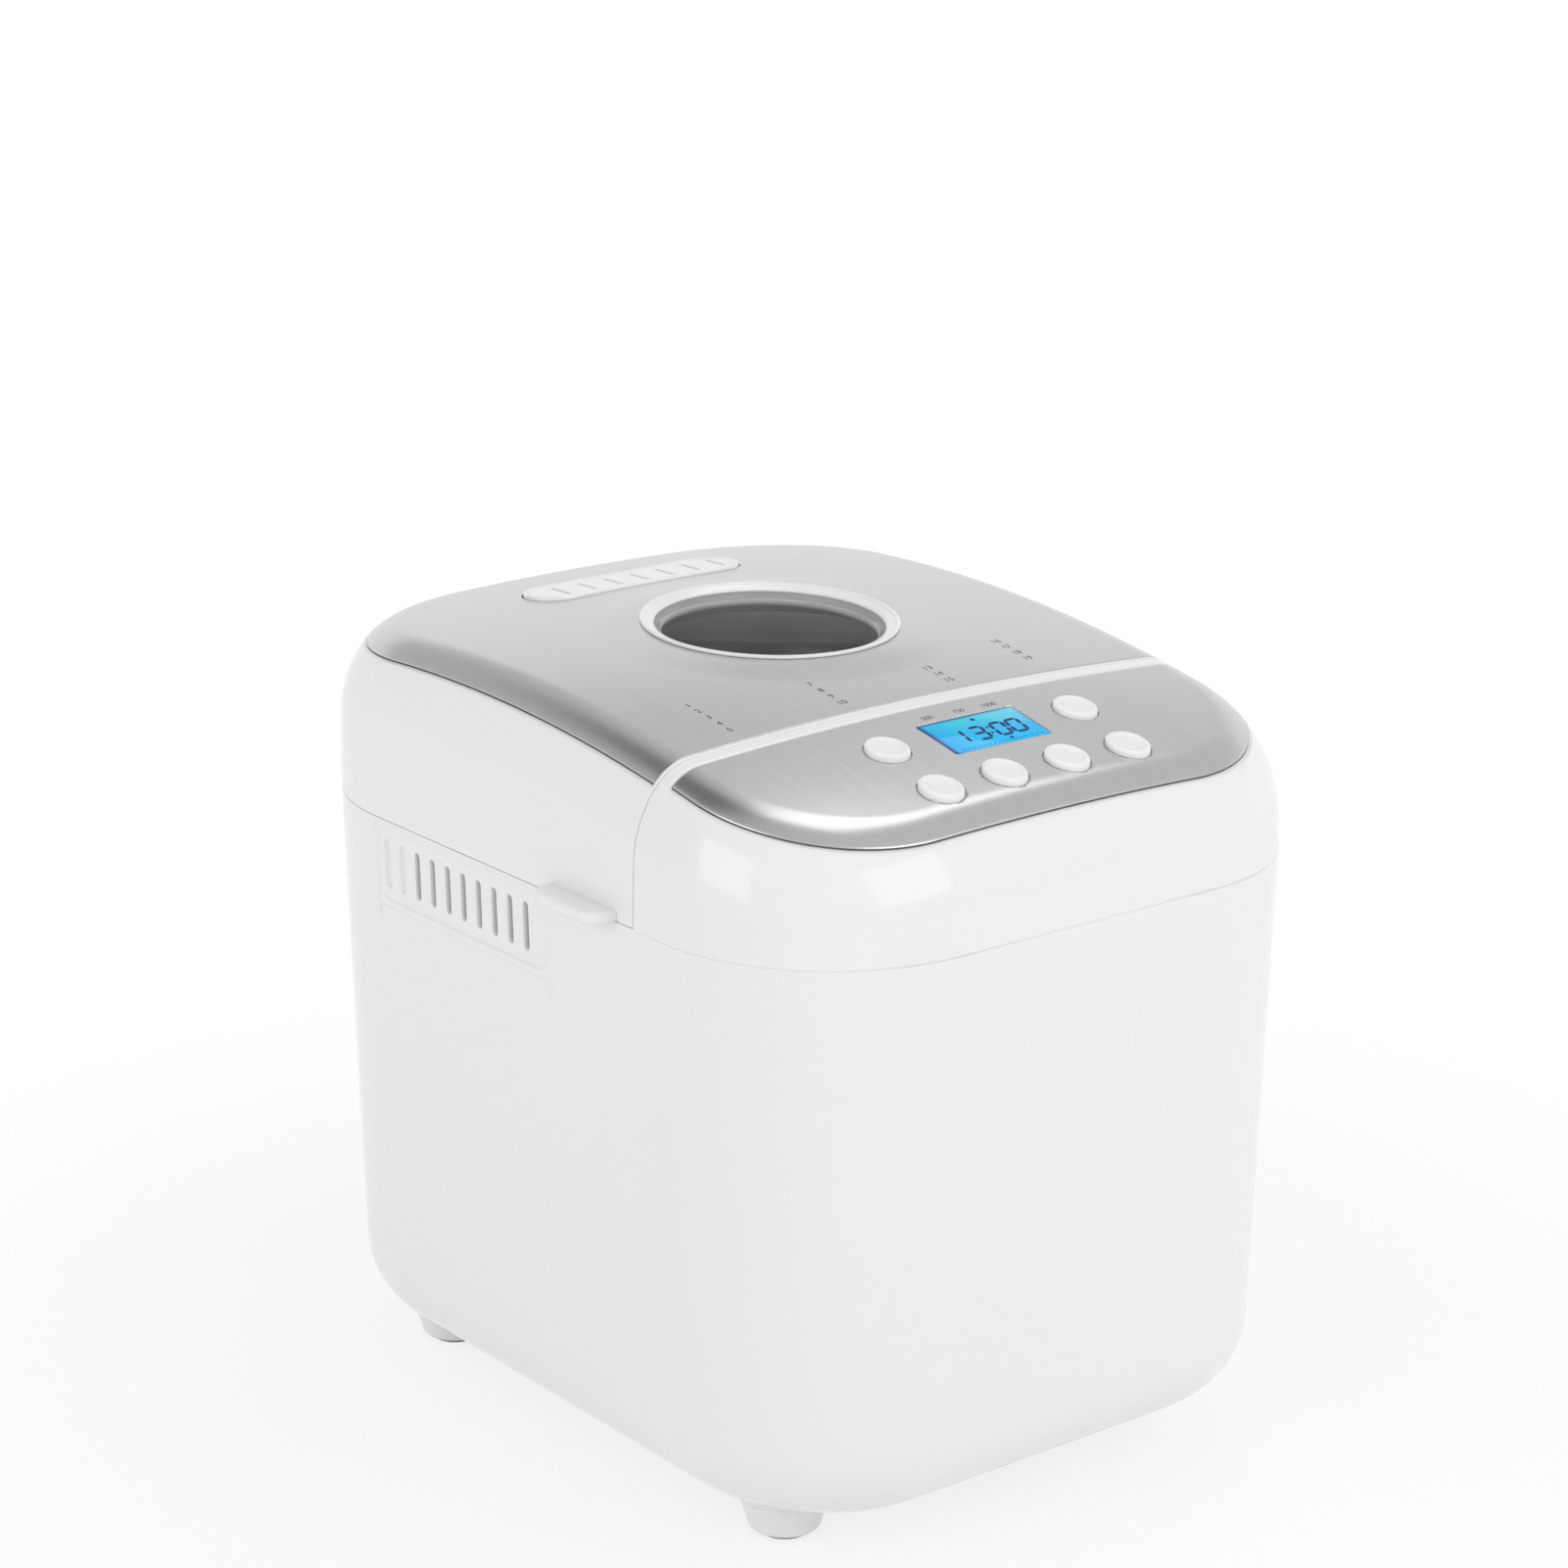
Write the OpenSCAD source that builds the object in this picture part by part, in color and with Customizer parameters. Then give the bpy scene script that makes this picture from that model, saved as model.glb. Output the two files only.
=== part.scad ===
// Bread machine with a hinged lid, a lift-out pan and a belt-driven kneading paddle.
// Frame: X to the right, Y to the back, Z up; origin on the table under the middle of the body.

/* [Body] */
// Width of the body at its seam
body_w = 250; // [235:1:300]
// Depth of the body at its seam
body_d = 316; // [300:1:380]
// Height of the crown of the lid above the table
crown_h = 287; // [280:1:345]
// Height of the seam between the lower housing and the lid
seam_h = 220; // [215:1:225]
// Height of the flat underside above the table
underside_h = 16; // [13:0.5:20]
// Wall of the lower housing
wall_t = 2.5; // [2:0.1:3]
// Corner radius of the body at the front, seen from above
front_corner_r = 68; // [60:1:75]
// Corner radius of the body at the back, seen from above
rear_corner_r = 76; // [66:1:80]
// Radius of the edge between the walls and the underside
base_edge_r = 30; // [22:1:32]
// Lean of the lower walls, in degrees
lower_draft = 1.65; // [0.5:0.05:2]
// Lean of the upper walls, in degrees
upper_draft = 0.9; // [0.5:0.05:2]

/* [Top surface] */
// Radius of the arch from front to back
arch_r = 706; // [600:1:900]
// Radius of the arch from side to side
cross_arch_r = 1520; // [1200:10:2500]
// Place of the highest point of the arch along Y
arch_y = 42; // [20:1:60]
// How far the rounded shoulder reaches in from the wall
shoulder_in = 23; // [18:0.5:28]
// How far the rounded shoulder drops from the top
shoulder_drop = 31; // [24:0.5:34]
// Front edge of the lid along Y
split_y = -72; // [-80:1:-70]
// Gap between the lid and the fixed parts round it
lid_gap = 0.6; // [0.5:0.1:1]
// Wall of the lid shell and of the front cover
shell_t = 2.8; // [2.4:0.1:3.2]
// Thickness of the two steel top plates
plate_t = 0.8; // [0.6:0.1:1]
// Distance from the wall to the edge of the lid plate
lid_plate_in = 7.8; // [6:0.1:12]
// Distance from the wall to the edge of the control plate
control_plate_in = 12; // [9:0.1:14]
// Width of the white strip between the two plates
strip_w = 4.6; // [3:0.1:8]

/* [Side vents] */
// Number of open slots on each side
slot_count = 8; // [4:1:8]
// Distance between two slots
slot_pitch = 9.5; // [8:0.5:11]
// Width of a slot
slot_w = 3; // [2:0.2:3.6]
// Height of a slot
slot_h = 17.5; // [12:0.5:22]
// Place of the rearmost open slot along Y
slot_y = 57; // [45:1:60]
// Height of the middle of the slots
slot_z = 204; // [195:1:206]

/* [Window and steam vent] */
// Place of the window along Y
window_y = 15; // [5:1:25]
// Outer radius of the window ring
window_ring_r = 46; // [40:1:52]
// Radius of the outer glass
window_glass_r = 41; // [36:0.5:44]
// Thickness of the window glasses
glass_t = 3; // [2:0.5:4]
// Place of the steam vent along Y
vent_y = 98; // [92:1:102]
// Half length of the straight part of the steam vent
vent_half = 34; // [20:1:40]
// Radius of the round ends of the steam vent
vent_r = 12.5; // [10:0.5:14]
// Number of slots in the steam vent
vent_slots = 7; // [3:1:7]
// Distance between the slots of the steam vent
vent_pitch = 11.8; // [10:0.2:12]
// Slant of the slots of the steam vent, in degrees
vent_slant = 7; // [0:1:20]

/* [Controls] */
// Radius of a button
button_r = 8; // [6:0.25:9]
// Travel of a button
button_travel = 1.2; // [0.6:0.1:1.4]
// Distance between the buttons of the front row
button_pitch = 27.4; // [24:0.2:30]
// Place of the front row of buttons along Y
front_row_y = -128.4; // [-129:0.2:-126]
// Place of the two back buttons along Y
back_row_y = -100; // [-101:0.2:-98]
// Distance of the two back buttons from the middle
back_row_x = 41.5; // [40:0.5:48]
// Width of the display window
lcd_w = 42; // [36:0.5:44]
// Length of the display window along Y
lcd_l = 22; // [18:0.5:24]
// Place of the display window along Y
lcd_y = -100.6; // [-103:0.2:-98]
// Shift of the display and of the back buttons along X
panel_x = 1; // [0:0.5:1.5]

/* [Hinge] */
// Distance of the hinge axis in from the back wall
hinge_in = 9; // [8:0.5:11]
// Distance of a hinge from the middle
hinge_x = 35; // [28:1:38]
// Radius of a hinge pin
hinge_pin_r = 2; // [1.5:0.1:2.5]
// Width of a lid knuckle
knuckle_w = 16; // [10:1:18]

/* [Baking chamber and pan] */
// Inner width of the chamber
chamber_w = 176; // [172:1:182]
// Inner length of the chamber
chamber_l = 184; // [180:1:186]
// Middle of the chamber along Y
chamber_y = 32; // [31:1:33]
// Height of the chamber floor
chamber_floor_h = 60; // [58:1:64]
// Sheet of the chamber and of the lid liner
liner_t = 0.8; // [0.6:0.1:1]
// Outer width of the pan at its rim
pan_w = 140; // [124:1:144]
// Outer length of the pan at its rim
pan_l = 160; // [140:1:162]
// Height of the pan from its floor to its rim
pan_h = 128; // [110:1:130]
// Sheet of the pan
pan_t = 1.6; // [1.2:0.1:2]
// Corner radius of the pan
pan_corner_r = 22; // [16:1:28]
// Length of an arm of the bail handle
bail_arm = 50; // [40:1:52]
// Radius of the bail's rod
bail_rod_r = 2.2; // [1.8:0.1:2.4]
// Radius of the heating element's tube
element_r = 3.3; // [2.8:0.1:3.6]
// Length of the kneading blade from the shaft
blade_l = 42; // [30:1:50]
// Height of the kneading blade
blade_h = 34; // [20:1:44]

/* [Drive] */
// Radius of the pan shaft and of the drive shaft
shaft_r = 4; // [3:0.25:4.5]
// Outer radius of the large pulley
large_pulley_r = 44; // [36:1:48]
// Outer radius of the motor pulley
motor_pulley_r = 9; // [8:0.5:12]
// Place of the motor along Y
motor_y = -108; // [-112:1:-104]
// Width of the square stator stack
stator_w = 60; // [50:1:64]
// Height of the stator stack
stator_h = 30; // [24:1:40]

/* [Feet] */
// Distance of a foot in from the side wall
foot_in = 45; // [41:1:55]
// Distance of the front feet in from the front wall
front_foot_in = 61; // [58:1:68]
// Distance of the back feet in from the back wall
rear_foot_in = 53; // [52:1:63]
// Radius of a foot at its top
foot_r = 16.5; // [13:0.5:18]

/* [Hidden] */
$fn = 64;

// Clearances between pieces
fit_gap = 0.05;
bed_gap = 0.1;
slide_gap = 0.3;
loose_gap = 0.6;
cut_over = 1;

half_w = body_w / 2;
half_d = body_d / 2;

// ---- The arched top and its shoulder ----

function arch_z(x, y) = crown_h - (y - arch_y) * (y - arch_y) / (2 * arch_r)
    - x * x / (2 * cross_arch_r);
function arch_tilt(y) = atan(-(y - arch_y) / arch_r);

upper_lean = tan(upper_draft) * (crown_h - shoulder_drop - seam_h);
corner_steps = 8;
side_steps = 9;
end_steps = 4;
shoulder_steps = 7;
inner_rings = 3;
spine_reach = 60;

// A path point is [centre x, centre y, outward x, outward y, radius, spine y].
function side_points(y0, y1, r) = [for (i = [0:side_steps])
    let (y = y0 + (y1 - y0) * i / side_steps)
    [-(half_w - r), y, -1, 0, r, y]];
function corner_points(cy, r, turn, y_end) = [for (i = [1:corner_steps])
    let (a = 90 * i / corner_steps, share = i / (corner_steps + end_steps))
    [-(half_w - r), cy, -cos(a), turn * sin(a), r, cy + (y_end - cy) * share]];
function end_points(cy, r, turn, y_end) = [for (i = [1:end_steps])
    let (share = (corner_steps + i) / (corner_steps + end_steps))
    [-(half_w - r) * (1 - i / end_steps), cy, 0, turn, r, cy + (y_end - cy) * share]];
function mirrored(p) = [-p[0], p[1], -p[2], p[3], p[4], p[5]];
function both_sides(half) = concat(half, [for (i = [len(half) - 2:-1:0]) mirrored(half[i])]);

// The lid's path runs from its front left corner round the back to its front right corner.
function rear_path(y_cut) =
    let (cy = half_d - rear_corner_r, y_end = half_d - spine_reach)
    both_sides(concat(side_points(y_cut, cy, rear_corner_r),
        corner_points(cy, rear_corner_r, 1, y_end), end_points(cy, rear_corner_r, 1, y_end)));

// The front cover's path runs the other way round; its first stretch is the white strip.
function front_path(y_cut) =
    let (cy = -(half_d - front_corner_r), y_end = -(half_d - spine_reach), step = 0.1,
        edge = split_y - lid_gap * 2 - strip_w)
    both_sides(concat(
        [for (y = [y_cut, edge, edge - step]) [-(half_w - front_corner_r), y, -1, 0, front_corner_r, y]],
        [[-(half_w - front_corner_r), cy, -1, 0, front_corner_r, cy]],
        corner_points(cy, front_corner_r, -1, y_end), end_points(cy, front_corner_r, -1, y_end)));

// A ring is [shoulder angle, share of the way to the spine, thickness taken off the surface].
function edge_angle(inset) = acos(1 - (inset - upper_lean) / shoulder_in);
function rings_from(angle, off) = concat(
    [for (i = [0:shoulder_steps]) [angle + (90 - angle) * i / shoulder_steps, 0, off]],
    [for (i = [1:inner_rings]) [90, i / inner_rings, off]]);
function wall_rings(angle, off) = [for (i = [0:3]) [angle * i / 4, 0, off]];

function surface_point(p, ring, z0) =
    let (t = ring[0], share = ring[1], off = ring[2],
        inset = off + upper_lean + (shoulder_in - off) * (1 - cos(t)),
        x = (p[0] + (p[4] - inset) * p[2]) * (1 - share),
        y0 = p[1] + (p[4] - inset) * p[3],
        y = y0 + (p[5] - y0) * share)
    [x, y, max(z0, arch_z(x, y) - off - (shoulder_drop - off) * (1 - sin(t)))];
function rim_point(p, off, z0) =
    let (r = p[4] - off)
    [p[0] + r * p[2], p[1] + r * p[3], z0];

// The last ring is the spine: its left and right points are the same ones.
function at(base, n, last, k, j) = base + k * n + ((k == last && j > (n - 1) / 2) ? n - 1 - j : j);
function grid_faces(base, n, last) = [for (k = [0:last - 1]) for (j = [0:n - 2])
    let (a = at(base, n, last, k, j), b = at(base, n, last, k, j + 1),
        c = at(base, n, last, k + 1, j + 1), d = at(base, n, last, k + 1, j))
    each [[a, b, c], [a, c, d]]];
function cap_faces(base, n, last) = [for (k = [0:last - 1])
    let (a = at(base, n, last, k, 0), b = at(base, n, last, k, n - 1),
        c = at(base, n, last, k + 1, n - 1), d = at(base, n, last, k + 1, 0))
    each (c == d ? [[a, d, b]] : [[a, d, b], [b, d, c]])];
function flipped(faces) = [for (f = faces) [f[2], f[1], f[0]]];
function used(faces) = [for (f = faces) if (f[0] != f[1] && f[1] != f[2] && f[0] != f[2]) f];

// A domed shell with a wall across its cut end, open underneath.
module dome_shell(outer, inner, out_grid, in_grid, flip) {
    n = len(outer);
    last = len(out_grid) / n - 1;
    inner_base = len(out_grid);
    skin = concat(grid_faces(0, n, last), cap_faces(0, n, last));
    lining = flipped(concat(grid_faces(inner_base, n, last), cap_faces(inner_base, n, last)));
    rim = [for (j = [0:n - 1])
        let (a = j, b = (j + 1) % n, c = inner_base + (j + 1) % n, d = inner_base + j)
        each [[b, a, d], [b, d, c]]];
    faces = used(concat(skin, lining, rim));
    polyhedron(points = concat(out_grid, in_grid), faces = flip ? flipped(faces) : faces);
}

// A thin sheet that follows the domed surface, closed along its edges.
module dome_sheet(path, rings_out, rings_in, flip) {
    n = len(path);
    last = len(rings_out) - 1;
    top = [for (ring = rings_out) for (p = path) surface_point(p, ring, 0)];
    under = [for (ring = rings_in) for (p = path) surface_point(p, ring, 0)];
    base = len(top);
    edge = [for (j = [0:n - 2]) each [[j + 1, j, base + j], [j + 1, base + j, base + j + 1]]];
    ends = [for (k = [0:last - 1])
        let (a = at(0, n, last, k, 0), b = at(0, n, last, k + 1, 0),
            c = at(0, n, last, k, n - 1), d = at(0, n, last, k + 1, n - 1))
        each [[a, b, base + b], [a, base + b, base + a], [d, c, base + c], [d, base + c, base + d]]];
    faces = used(concat(grid_faces(0, n, last), flipped(grid_faces(base, n, last)), edge, ends));
    polyhedron(points = concat(top, under), faces = flip ? flipped(faces) : faces);
}

// ---- Shared outlines ----

// A profile carried round a rounded rectangle: profile x runs outwards from the outline.
module swept(hw, hd, rf, rr) {
    for (side = [0, 1]) mirror([side, 0, 0]) {
        translate([hw - rr, hd - rr, 0])
            rotate_extrude(angle = 90) translate([rr, 0]) children();
        translate([hw - rf, -(hd - rf), 0])
            rotate([0, 0, -90]) rotate_extrude(angle = 90) translate([rf, 0]) children();
        translate([hw, hd - rr, 0])
            rotate([90, 0, 0]) linear_extrude(height = 2 * hd - rr - rf) children();
    }
    translate([-(hw - rr), hd, 0])
        rotate([0, 0, 90]) rotate([90, 0, 0]) linear_extrude(height = 2 * (hw - rr)) children();
    translate([hw - rf, -hd, 0])
        rotate([0, 0, -90]) rotate([90, 0, 0]) linear_extrude(height = 2 * (hw - rf)) children();
}

// A flat rounded rectangle with its own front and back corner radii.
module rounded(hw, hd, rf, rr) {
    translate([-hw, -(hd - rf)]) square([2 * hw, 2 * hd - rf - rr]);
    translate([-(hw - rf), -hd]) square([2 * (hw - rf), 2 * rf]);
    translate([-(hw - rr), hd - 2 * rr]) square([2 * (hw - rr), 2 * rr]);
    for (s = [-1, 1]) {
        translate([s * (hw - rf), -(hd - rf)]) circle(r = rf);
        translate([s * (hw - rr), hd - rr]) circle(r = rr);
    }
}
module body_outline(inset) {
    rounded(half_w - inset, half_d - inset, front_corner_r - inset, rear_corner_r - inset);
}
module stadium(half, r) {
    translate([-half, -r]) square([2 * half, 2 * r]);
    for (s = [-1, 1]) translate([s * half, 0]) circle(r = r);
}
module plate(z, t) {
    translate([0, 0, z]) linear_extrude(height = t) children();
}
module rod(z0, z1, r) {
    translate([0, 0, z0]) cylinder(h = z1 - z0, r = r);
}
module tube(z0, z1, r, bore) {
    difference() {
        rod(z0, z1, r);
        rod(z0 - cut_over, z1 + cut_over, bore);
    }
}
module rod_x(x0, x1, r) {
    translate([x0, 0, 0]) rotate([0, 90, 0]) cylinder(h = x1 - x0, r = r);
}
module rod_y(y0, y1, r) {
    translate([0, y1, 0]) rotate([90, 0, 0]) cylinder(h = y1 - y0, r = r);
}
module box(x, y, z) {
    translate([x[0], y[0], z[0]]) cube([x[1] - x[0], y[1] - y[0], z[1] - z[0]]);
}

// ---- Lower housing ----

edge_run = (seam_h - underside_h - base_edge_r + base_edge_r * sin(lower_draft)) / cos(lower_draft);
edge_x = -edge_run * sin(lower_draft) - base_edge_r * cos(lower_draft);
edge_z = underside_h + base_edge_r;
base_flange = 44;
floor_top = underside_h + wall_t;
ledge_w = 3;
ledge_h = 4;
deck_t = 3;
deck_z = seam_h - 6;
tongue_h = 16;
tongue_t = wall_t - 0.3;
hinge_y = half_d - hinge_in;
hinge_z = seam_h;
hinge_reach = sqrt(pow(rear_corner_r, 2) - pow(hinge_y - half_d + rear_corner_r, 2));
tongue_half = half_w - rear_corner_r + hinge_reach + 1;
foot_boss_h = 2;
post_r = 5;
post_top = underside_h + 10;
screw_r = 2;
gland_x = -32;
gland_z = 60;
gland_r = 7;
recess_depth = 0.6;
blind_slots = 2;
blind_depth = 1.2;
panel_margin_front = 12;
panel_margin_rear = 5;
panel_margin_z = 4.5;
panel_corner_r = 6;

// Section of the space inside a wall surface that lies off inside the outer one.
module inside_section(off, reach, top) {
    nx = cos(lower_draft);
    nz = -sin(lower_draft);
    r = base_edge_r - off;
    rise = (top - seam_h) * tan(lower_draft);
    polygon([[-reach, underside_h + off], [edge_x, underside_h + off], [edge_x, edge_z],
        [edge_x + r * nx, edge_z + r * nz], [rise - off / nx, top], [-reach, top]]);
    intersection() {
        translate([edge_x, edge_z]) circle(r = r);
        translate([edge_x, edge_z - r]) square([r, 2 * r]);
    }
}
module housing_section() {
    difference() {
        inside_section(0, base_flange, seam_h);
        inside_section(wall_t, base_flange + 10, seam_h + cut_over);
    }
    inner = -wall_t - ledge_w;
    polygon([[-wall_t / 2, deck_z], [inner, deck_z], [inner, deck_z - 1], [-wall_t / 2, deck_z - ledge_h]]);
}

// What is cut into the right wall, in the plane of the wall: z runs up, y back, x outwards.
module on_right_wall() {
    x = half_w - tan(lower_draft) * (seam_h - slot_z);
    translate([x, 0, slot_z]) rotate([0, lower_draft, 0]) children();
}
module slot_cutter(y, depth) {
    straight = slot_h / 2 - slot_w / 2;
    translate([-depth, y, 0]) {
        box([0, depth + cut_over], [-slot_w / 2, slot_w / 2], [-straight, straight]);
        for (s = [-1, 1]) translate([0, 0, s * straight]) rod_x(0, depth + cut_over, slot_w / 2);
    }
}
module vent_cutters() {
    y_rear = slot_y + blind_slots * slot_pitch + panel_margin_rear;
    y_front = slot_y - (slot_count - 1) * slot_pitch - panel_margin_front;
    zh = slot_h / 2 + panel_margin_z;
    translate([-recess_depth, (y_rear + y_front) / 2, 0]) rotate([90, 0, 90])
        linear_extrude(height = recess_depth + cut_over)
            rounded((y_rear - y_front) / 2, zh, panel_corner_r, panel_corner_r);
    for (i = [0:slot_count - 1]) slot_cutter(slot_y - i * slot_pitch, wall_t + cut_over);
    for (i = [1:blind_slots]) slot_cutter(slot_y + i * slot_pitch, blind_depth);
}
module at_feet() {
    for (sx = [-1, 1]) for (y = [front_foot_in - half_d, half_d - rear_foot_in])
        translate([sx * (half_w - foot_in), y, 0]) children();
}

module lower_housing() color("whitesmoke") {
    difference() {
        union() {
            swept(half_w, half_d, front_corner_r, rear_corner_r) housing_section();
            intersection() {
                plate(seam_h, tongue_h) difference() {
                    body_outline(0);
                    body_outline(tongue_t);
                }
                box([-tongue_half, tongue_half], [0, half_d + cut_over], [seam_h, seam_h + tongue_h]);
            }
            at_feet() {
                rod(underside_h - foot_boss_h, floor_top, foot_r);
                rod(floor_top, post_top, post_r);
            }
        }
        on_right_wall() vent_cutters();
        mirror([1, 0, 0]) on_right_wall() vent_cutters();
        at_feet() rod(0, post_top + cut_over, screw_r + fit_gap);
        translate([gland_x, 0, gland_z]) rod_y(half_d - 20, half_d + 5, gland_r + fit_gap);
    }
}

// ---- Base plate, feet and their screws ----

base_plate_t = 1.2;
base_plate_in = 38;
base_top = floor_top + base_plate_t;
pad_r = 9;
pad_h = 3;
foot_bottom = 1.5;
foot_top = underside_h - foot_boss_h;
head_r = 4;
head_h = 2.8;
base_vents = 6;
base_vent_pitch = 11;

module base_plate() color("silver") {
    difference() {
        plate(floor_top, base_plate_t) body_outline(base_plate_in);
        at_feet() rod(0, post_top, post_r + slide_gap);
        for (i = [0:base_vents - 1])
            translate([(i - (base_vents - 1) / 2) * base_vent_pitch, motor_y, floor_top - cut_over])
                linear_extrude(height = base_plate_t + 2 * cut_over) rotate(90) stadium(14, 1.9);
    }
}
module foot() {
    waist = foot_r - 3.5;
    round_r = 3;
    difference() {
        rotate_extrude() difference() {
            union() {
                polygon([[0, foot_bottom], [waist - round_r, foot_bottom], [waist - round_r, foot_bottom + round_r],
                    [waist, foot_bottom + round_r], [foot_r - 0.5, foot_top], [0, foot_top]]);
                translate([waist - round_r, foot_bottom + round_r]) circle(r = round_r);
            }
            translate([-2 * foot_r, 0]) square([2 * foot_r, foot_top]);
        }
        rod(0, pad_h, pad_r + fit_gap);
        rod(0, pad_h + head_h, head_r + slide_gap);
        rod(0, foot_top + cut_over, screw_r + fit_gap);
    }
}
module feet() color("white") at_feet() foot();
module foot_pads() color("dimgray") at_feet() rod(0, pad_h, pad_r);
module base_screws() color("silver") at_feet() {
    rod(pad_h, pad_h + head_h, head_r);
    rod(pad_h + head_h, post_top - 2, screw_r);
}

// ---- Deck round the chamber mouth, with the hinge ears ----

deck_in = wall_t + 0.6;
deck_front = split_y - 8;
cover_wall_y = split_y - 2 * lid_gap;
ear_t = 4;
ear_r = 5.5;
knuckle_r = 5;
mouth_hw = chamber_w / 2 + liner_t + slide_gap;
mouth_hl = chamber_l / 2 + liner_t + slide_gap;
chamber_corner_r = 14;

module at_hinges() {
    for (s = [-1, 1]) translate([s * hinge_x, hinge_y, hinge_z]) children();
}
module top_deck() color("gainsboro") {
    difference() {
        union() {
            intersection() {
                plate(deck_z, deck_t) body_outline(deck_in);
                box([-half_w, half_w], [deck_front, half_d], [deck_z, deck_z + deck_t]);
            }
            box([-half_w + 12, half_w - 12], [cover_wall_y - shell_t, cover_wall_y],
                [deck_z + deck_t, seam_h]);
            at_hinges() for (s = [-1, 1])
                translate([s * (knuckle_w + ear_t + 2 * slide_gap) / 2, 0, 0]) {
                    rod_x(-ear_t / 2, ear_t / 2, ear_r);
                    box([-ear_t / 2, ear_t / 2], [-ear_r, ear_r], [deck_z - hinge_z, 0]);
                }
        }
        plate(deck_z - cut_over, deck_t + 2 * cut_over)
            translate([0, chamber_y]) rounded(mouth_hw, mouth_hl, chamber_corner_r, chamber_corner_r);
        at_hinges() {
            rod_x(-half_w, half_w, hinge_pin_r + fit_gap);
            box([-knuckle_w / 2 - slide_gap, knuckle_w / 2 + slide_gap],
                [-knuckle_r - loose_gap, ear_r + cut_over], [-10, 0]);
        }
    }
}
module hinge_pins() color("silver") at_hinges() {
    reach = knuckle_w / 2 + slide_gap + ear_t;
    rod_x(-reach, reach, hinge_pin_r);
}

// ---- Front cover and its steel plate ----

control_angle = edge_angle(control_plate_in);
groove = 0.4;
recess_columns = 2;

// Only columns past the strip are lowered to take the plate.
function cover_grid(path, rings, z0, off) =
    let (n = len(path))
    concat([for (p = path) rim_point(p, off, z0)],
        [for (ring = rings) for (j = [0:n - 1])
            let (low = j >= recess_columns && j <= n - 1 - recess_columns,
                r = [ring[0], ring[1], low ? ring[2] : off])
            surface_point(path[j], r, z0)]);
function stepped_rings(angle, off, depth) = concat(wall_rings(angle, off), [[angle, 0, off]],
    rings_from(angle, off + depth));

button_x = [-1.5 * button_pitch, -0.5 * button_pitch, 0.5 * button_pitch, 1.5 * button_pitch];
button_places = [[panel_x - back_row_x, back_row_y], [panel_x + back_row_x, back_row_y], [button_x[0], front_row_y],
    [button_x[1], front_row_y], [button_x[2], front_row_y], [button_x[3], front_row_y]];
board_z = seam_h + 26;
board_t = 1.6;
board_half_w = 58;
board_front = motor_y - 38;
board_rear = motor_y + 26;
board_screws = [[-52, board_rear - 4], [52, board_rear - 4], [-52, board_front + 8], [52, board_front + 8]];
board_post_r = 3.2;
board_screw_r = 1.4;
lens_t = 3.4;

module at_buttons() {
    for (p = button_places) translate([p[0], p[1], 0]) children();
}
module at_lcd() {
    translate([panel_x, lcd_y, arch_z(panel_x, lcd_y)]) rotate([arch_tilt(lcd_y), 0, 0]) children();
}
module front_cover() color("whitesmoke") {
    outer = front_path(cover_wall_y);
    inner = front_path(cover_wall_y - shell_t);
    difference() {
        union() {
            dome_shell(outer, inner, cover_grid(outer, stepped_rings(control_angle, 0, plate_t + bed_gap), seam_h, 0),
                cover_grid(inner, stepped_rings(control_angle, shell_t, 0), seam_h, shell_t), true);
            for (p = board_screws)
                translate([p[0], p[1], 0]) rod(board_z + board_t, arch_z(p[0], p[1]) - shell_t - 0.4, board_post_r);
        }
        at_buttons() rod(board_z, crown_h, button_r + slide_gap);
        at_lcd() box([-lcd_w / 2 - 0.1, lcd_w / 2 + 0.1], [-lcd_l / 2 - 0.1, lcd_l / 2 + 0.1], [-8, 8]);
        for (p = board_screws)
            translate([p[0], p[1], 0]) rod(board_z, board_z + board_t + 8, board_screw_r + fit_gap);
    }
}
module control_plate() color("silver") {
    path = front_path(cover_wall_y);
    inner_path = [for (j = [recess_columns:len(path) - 1 - recess_columns])
        let (p = path[j]) abs(p[1] - path[recess_columns][1]) < 0.01
            ? [p[0], p[1] - groove, p[2], p[3], p[4], p[5] - groove] : p];
    start = edge_angle(control_plate_in + groove);
    difference() {
        dome_sheet(inner_path, rings_from(start, 0), rings_from(start, plate_t), true);
        at_buttons() rod(board_z, crown_h, button_r + slide_gap);
        at_lcd() box([-lcd_w / 2 - 0.1, lcd_w / 2 + 0.1], [-lcd_l / 2 - 0.1, lcd_l / 2 + 0.1], [-8, 8]);
    }
}

// ---- Display, circuit board and switches ----

switch_w = 6;
switch_h = 3.5;
plunger_top = board_z + 6.6;
stem_bottom = plunger_top + button_travel + 0.2;
module_w = 50;
module_l = 27;
module_t = 5;

module lcd_lens() color("deepskyblue")
    at_lcd() box([-lcd_w / 2, lcd_w / 2], [-lcd_l / 2, lcd_l / 2], [-lens_t, -0.1]);
module lcd_module() color("navy") {
    at_lcd() box([-module_w / 2, module_w / 2], [-module_l / 2, module_l / 2],
        [-lens_t - module_t, -lens_t]);
    for (sx = [-1, 1]) for (sy = [-1, 1])
        translate([panel_x + sx * (module_w / 2 - 3), lcd_y + sy * (module_l / 2 - 5), 0])
            rod(board_z + board_t, arch_z(0, lcd_y + sy * (module_l / 2 - 5)) - lens_t - module_t / 2, 1.2);
}
module control_board() color("darkgreen") {
    difference() {
        box([-board_half_w, board_half_w], [board_front, board_rear], [board_z, board_z + board_t]);
        for (p = board_screws) translate([p[0], p[1], 0]) rod(0, crown_h, board_screw_r + 0.2);
    }
}
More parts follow.
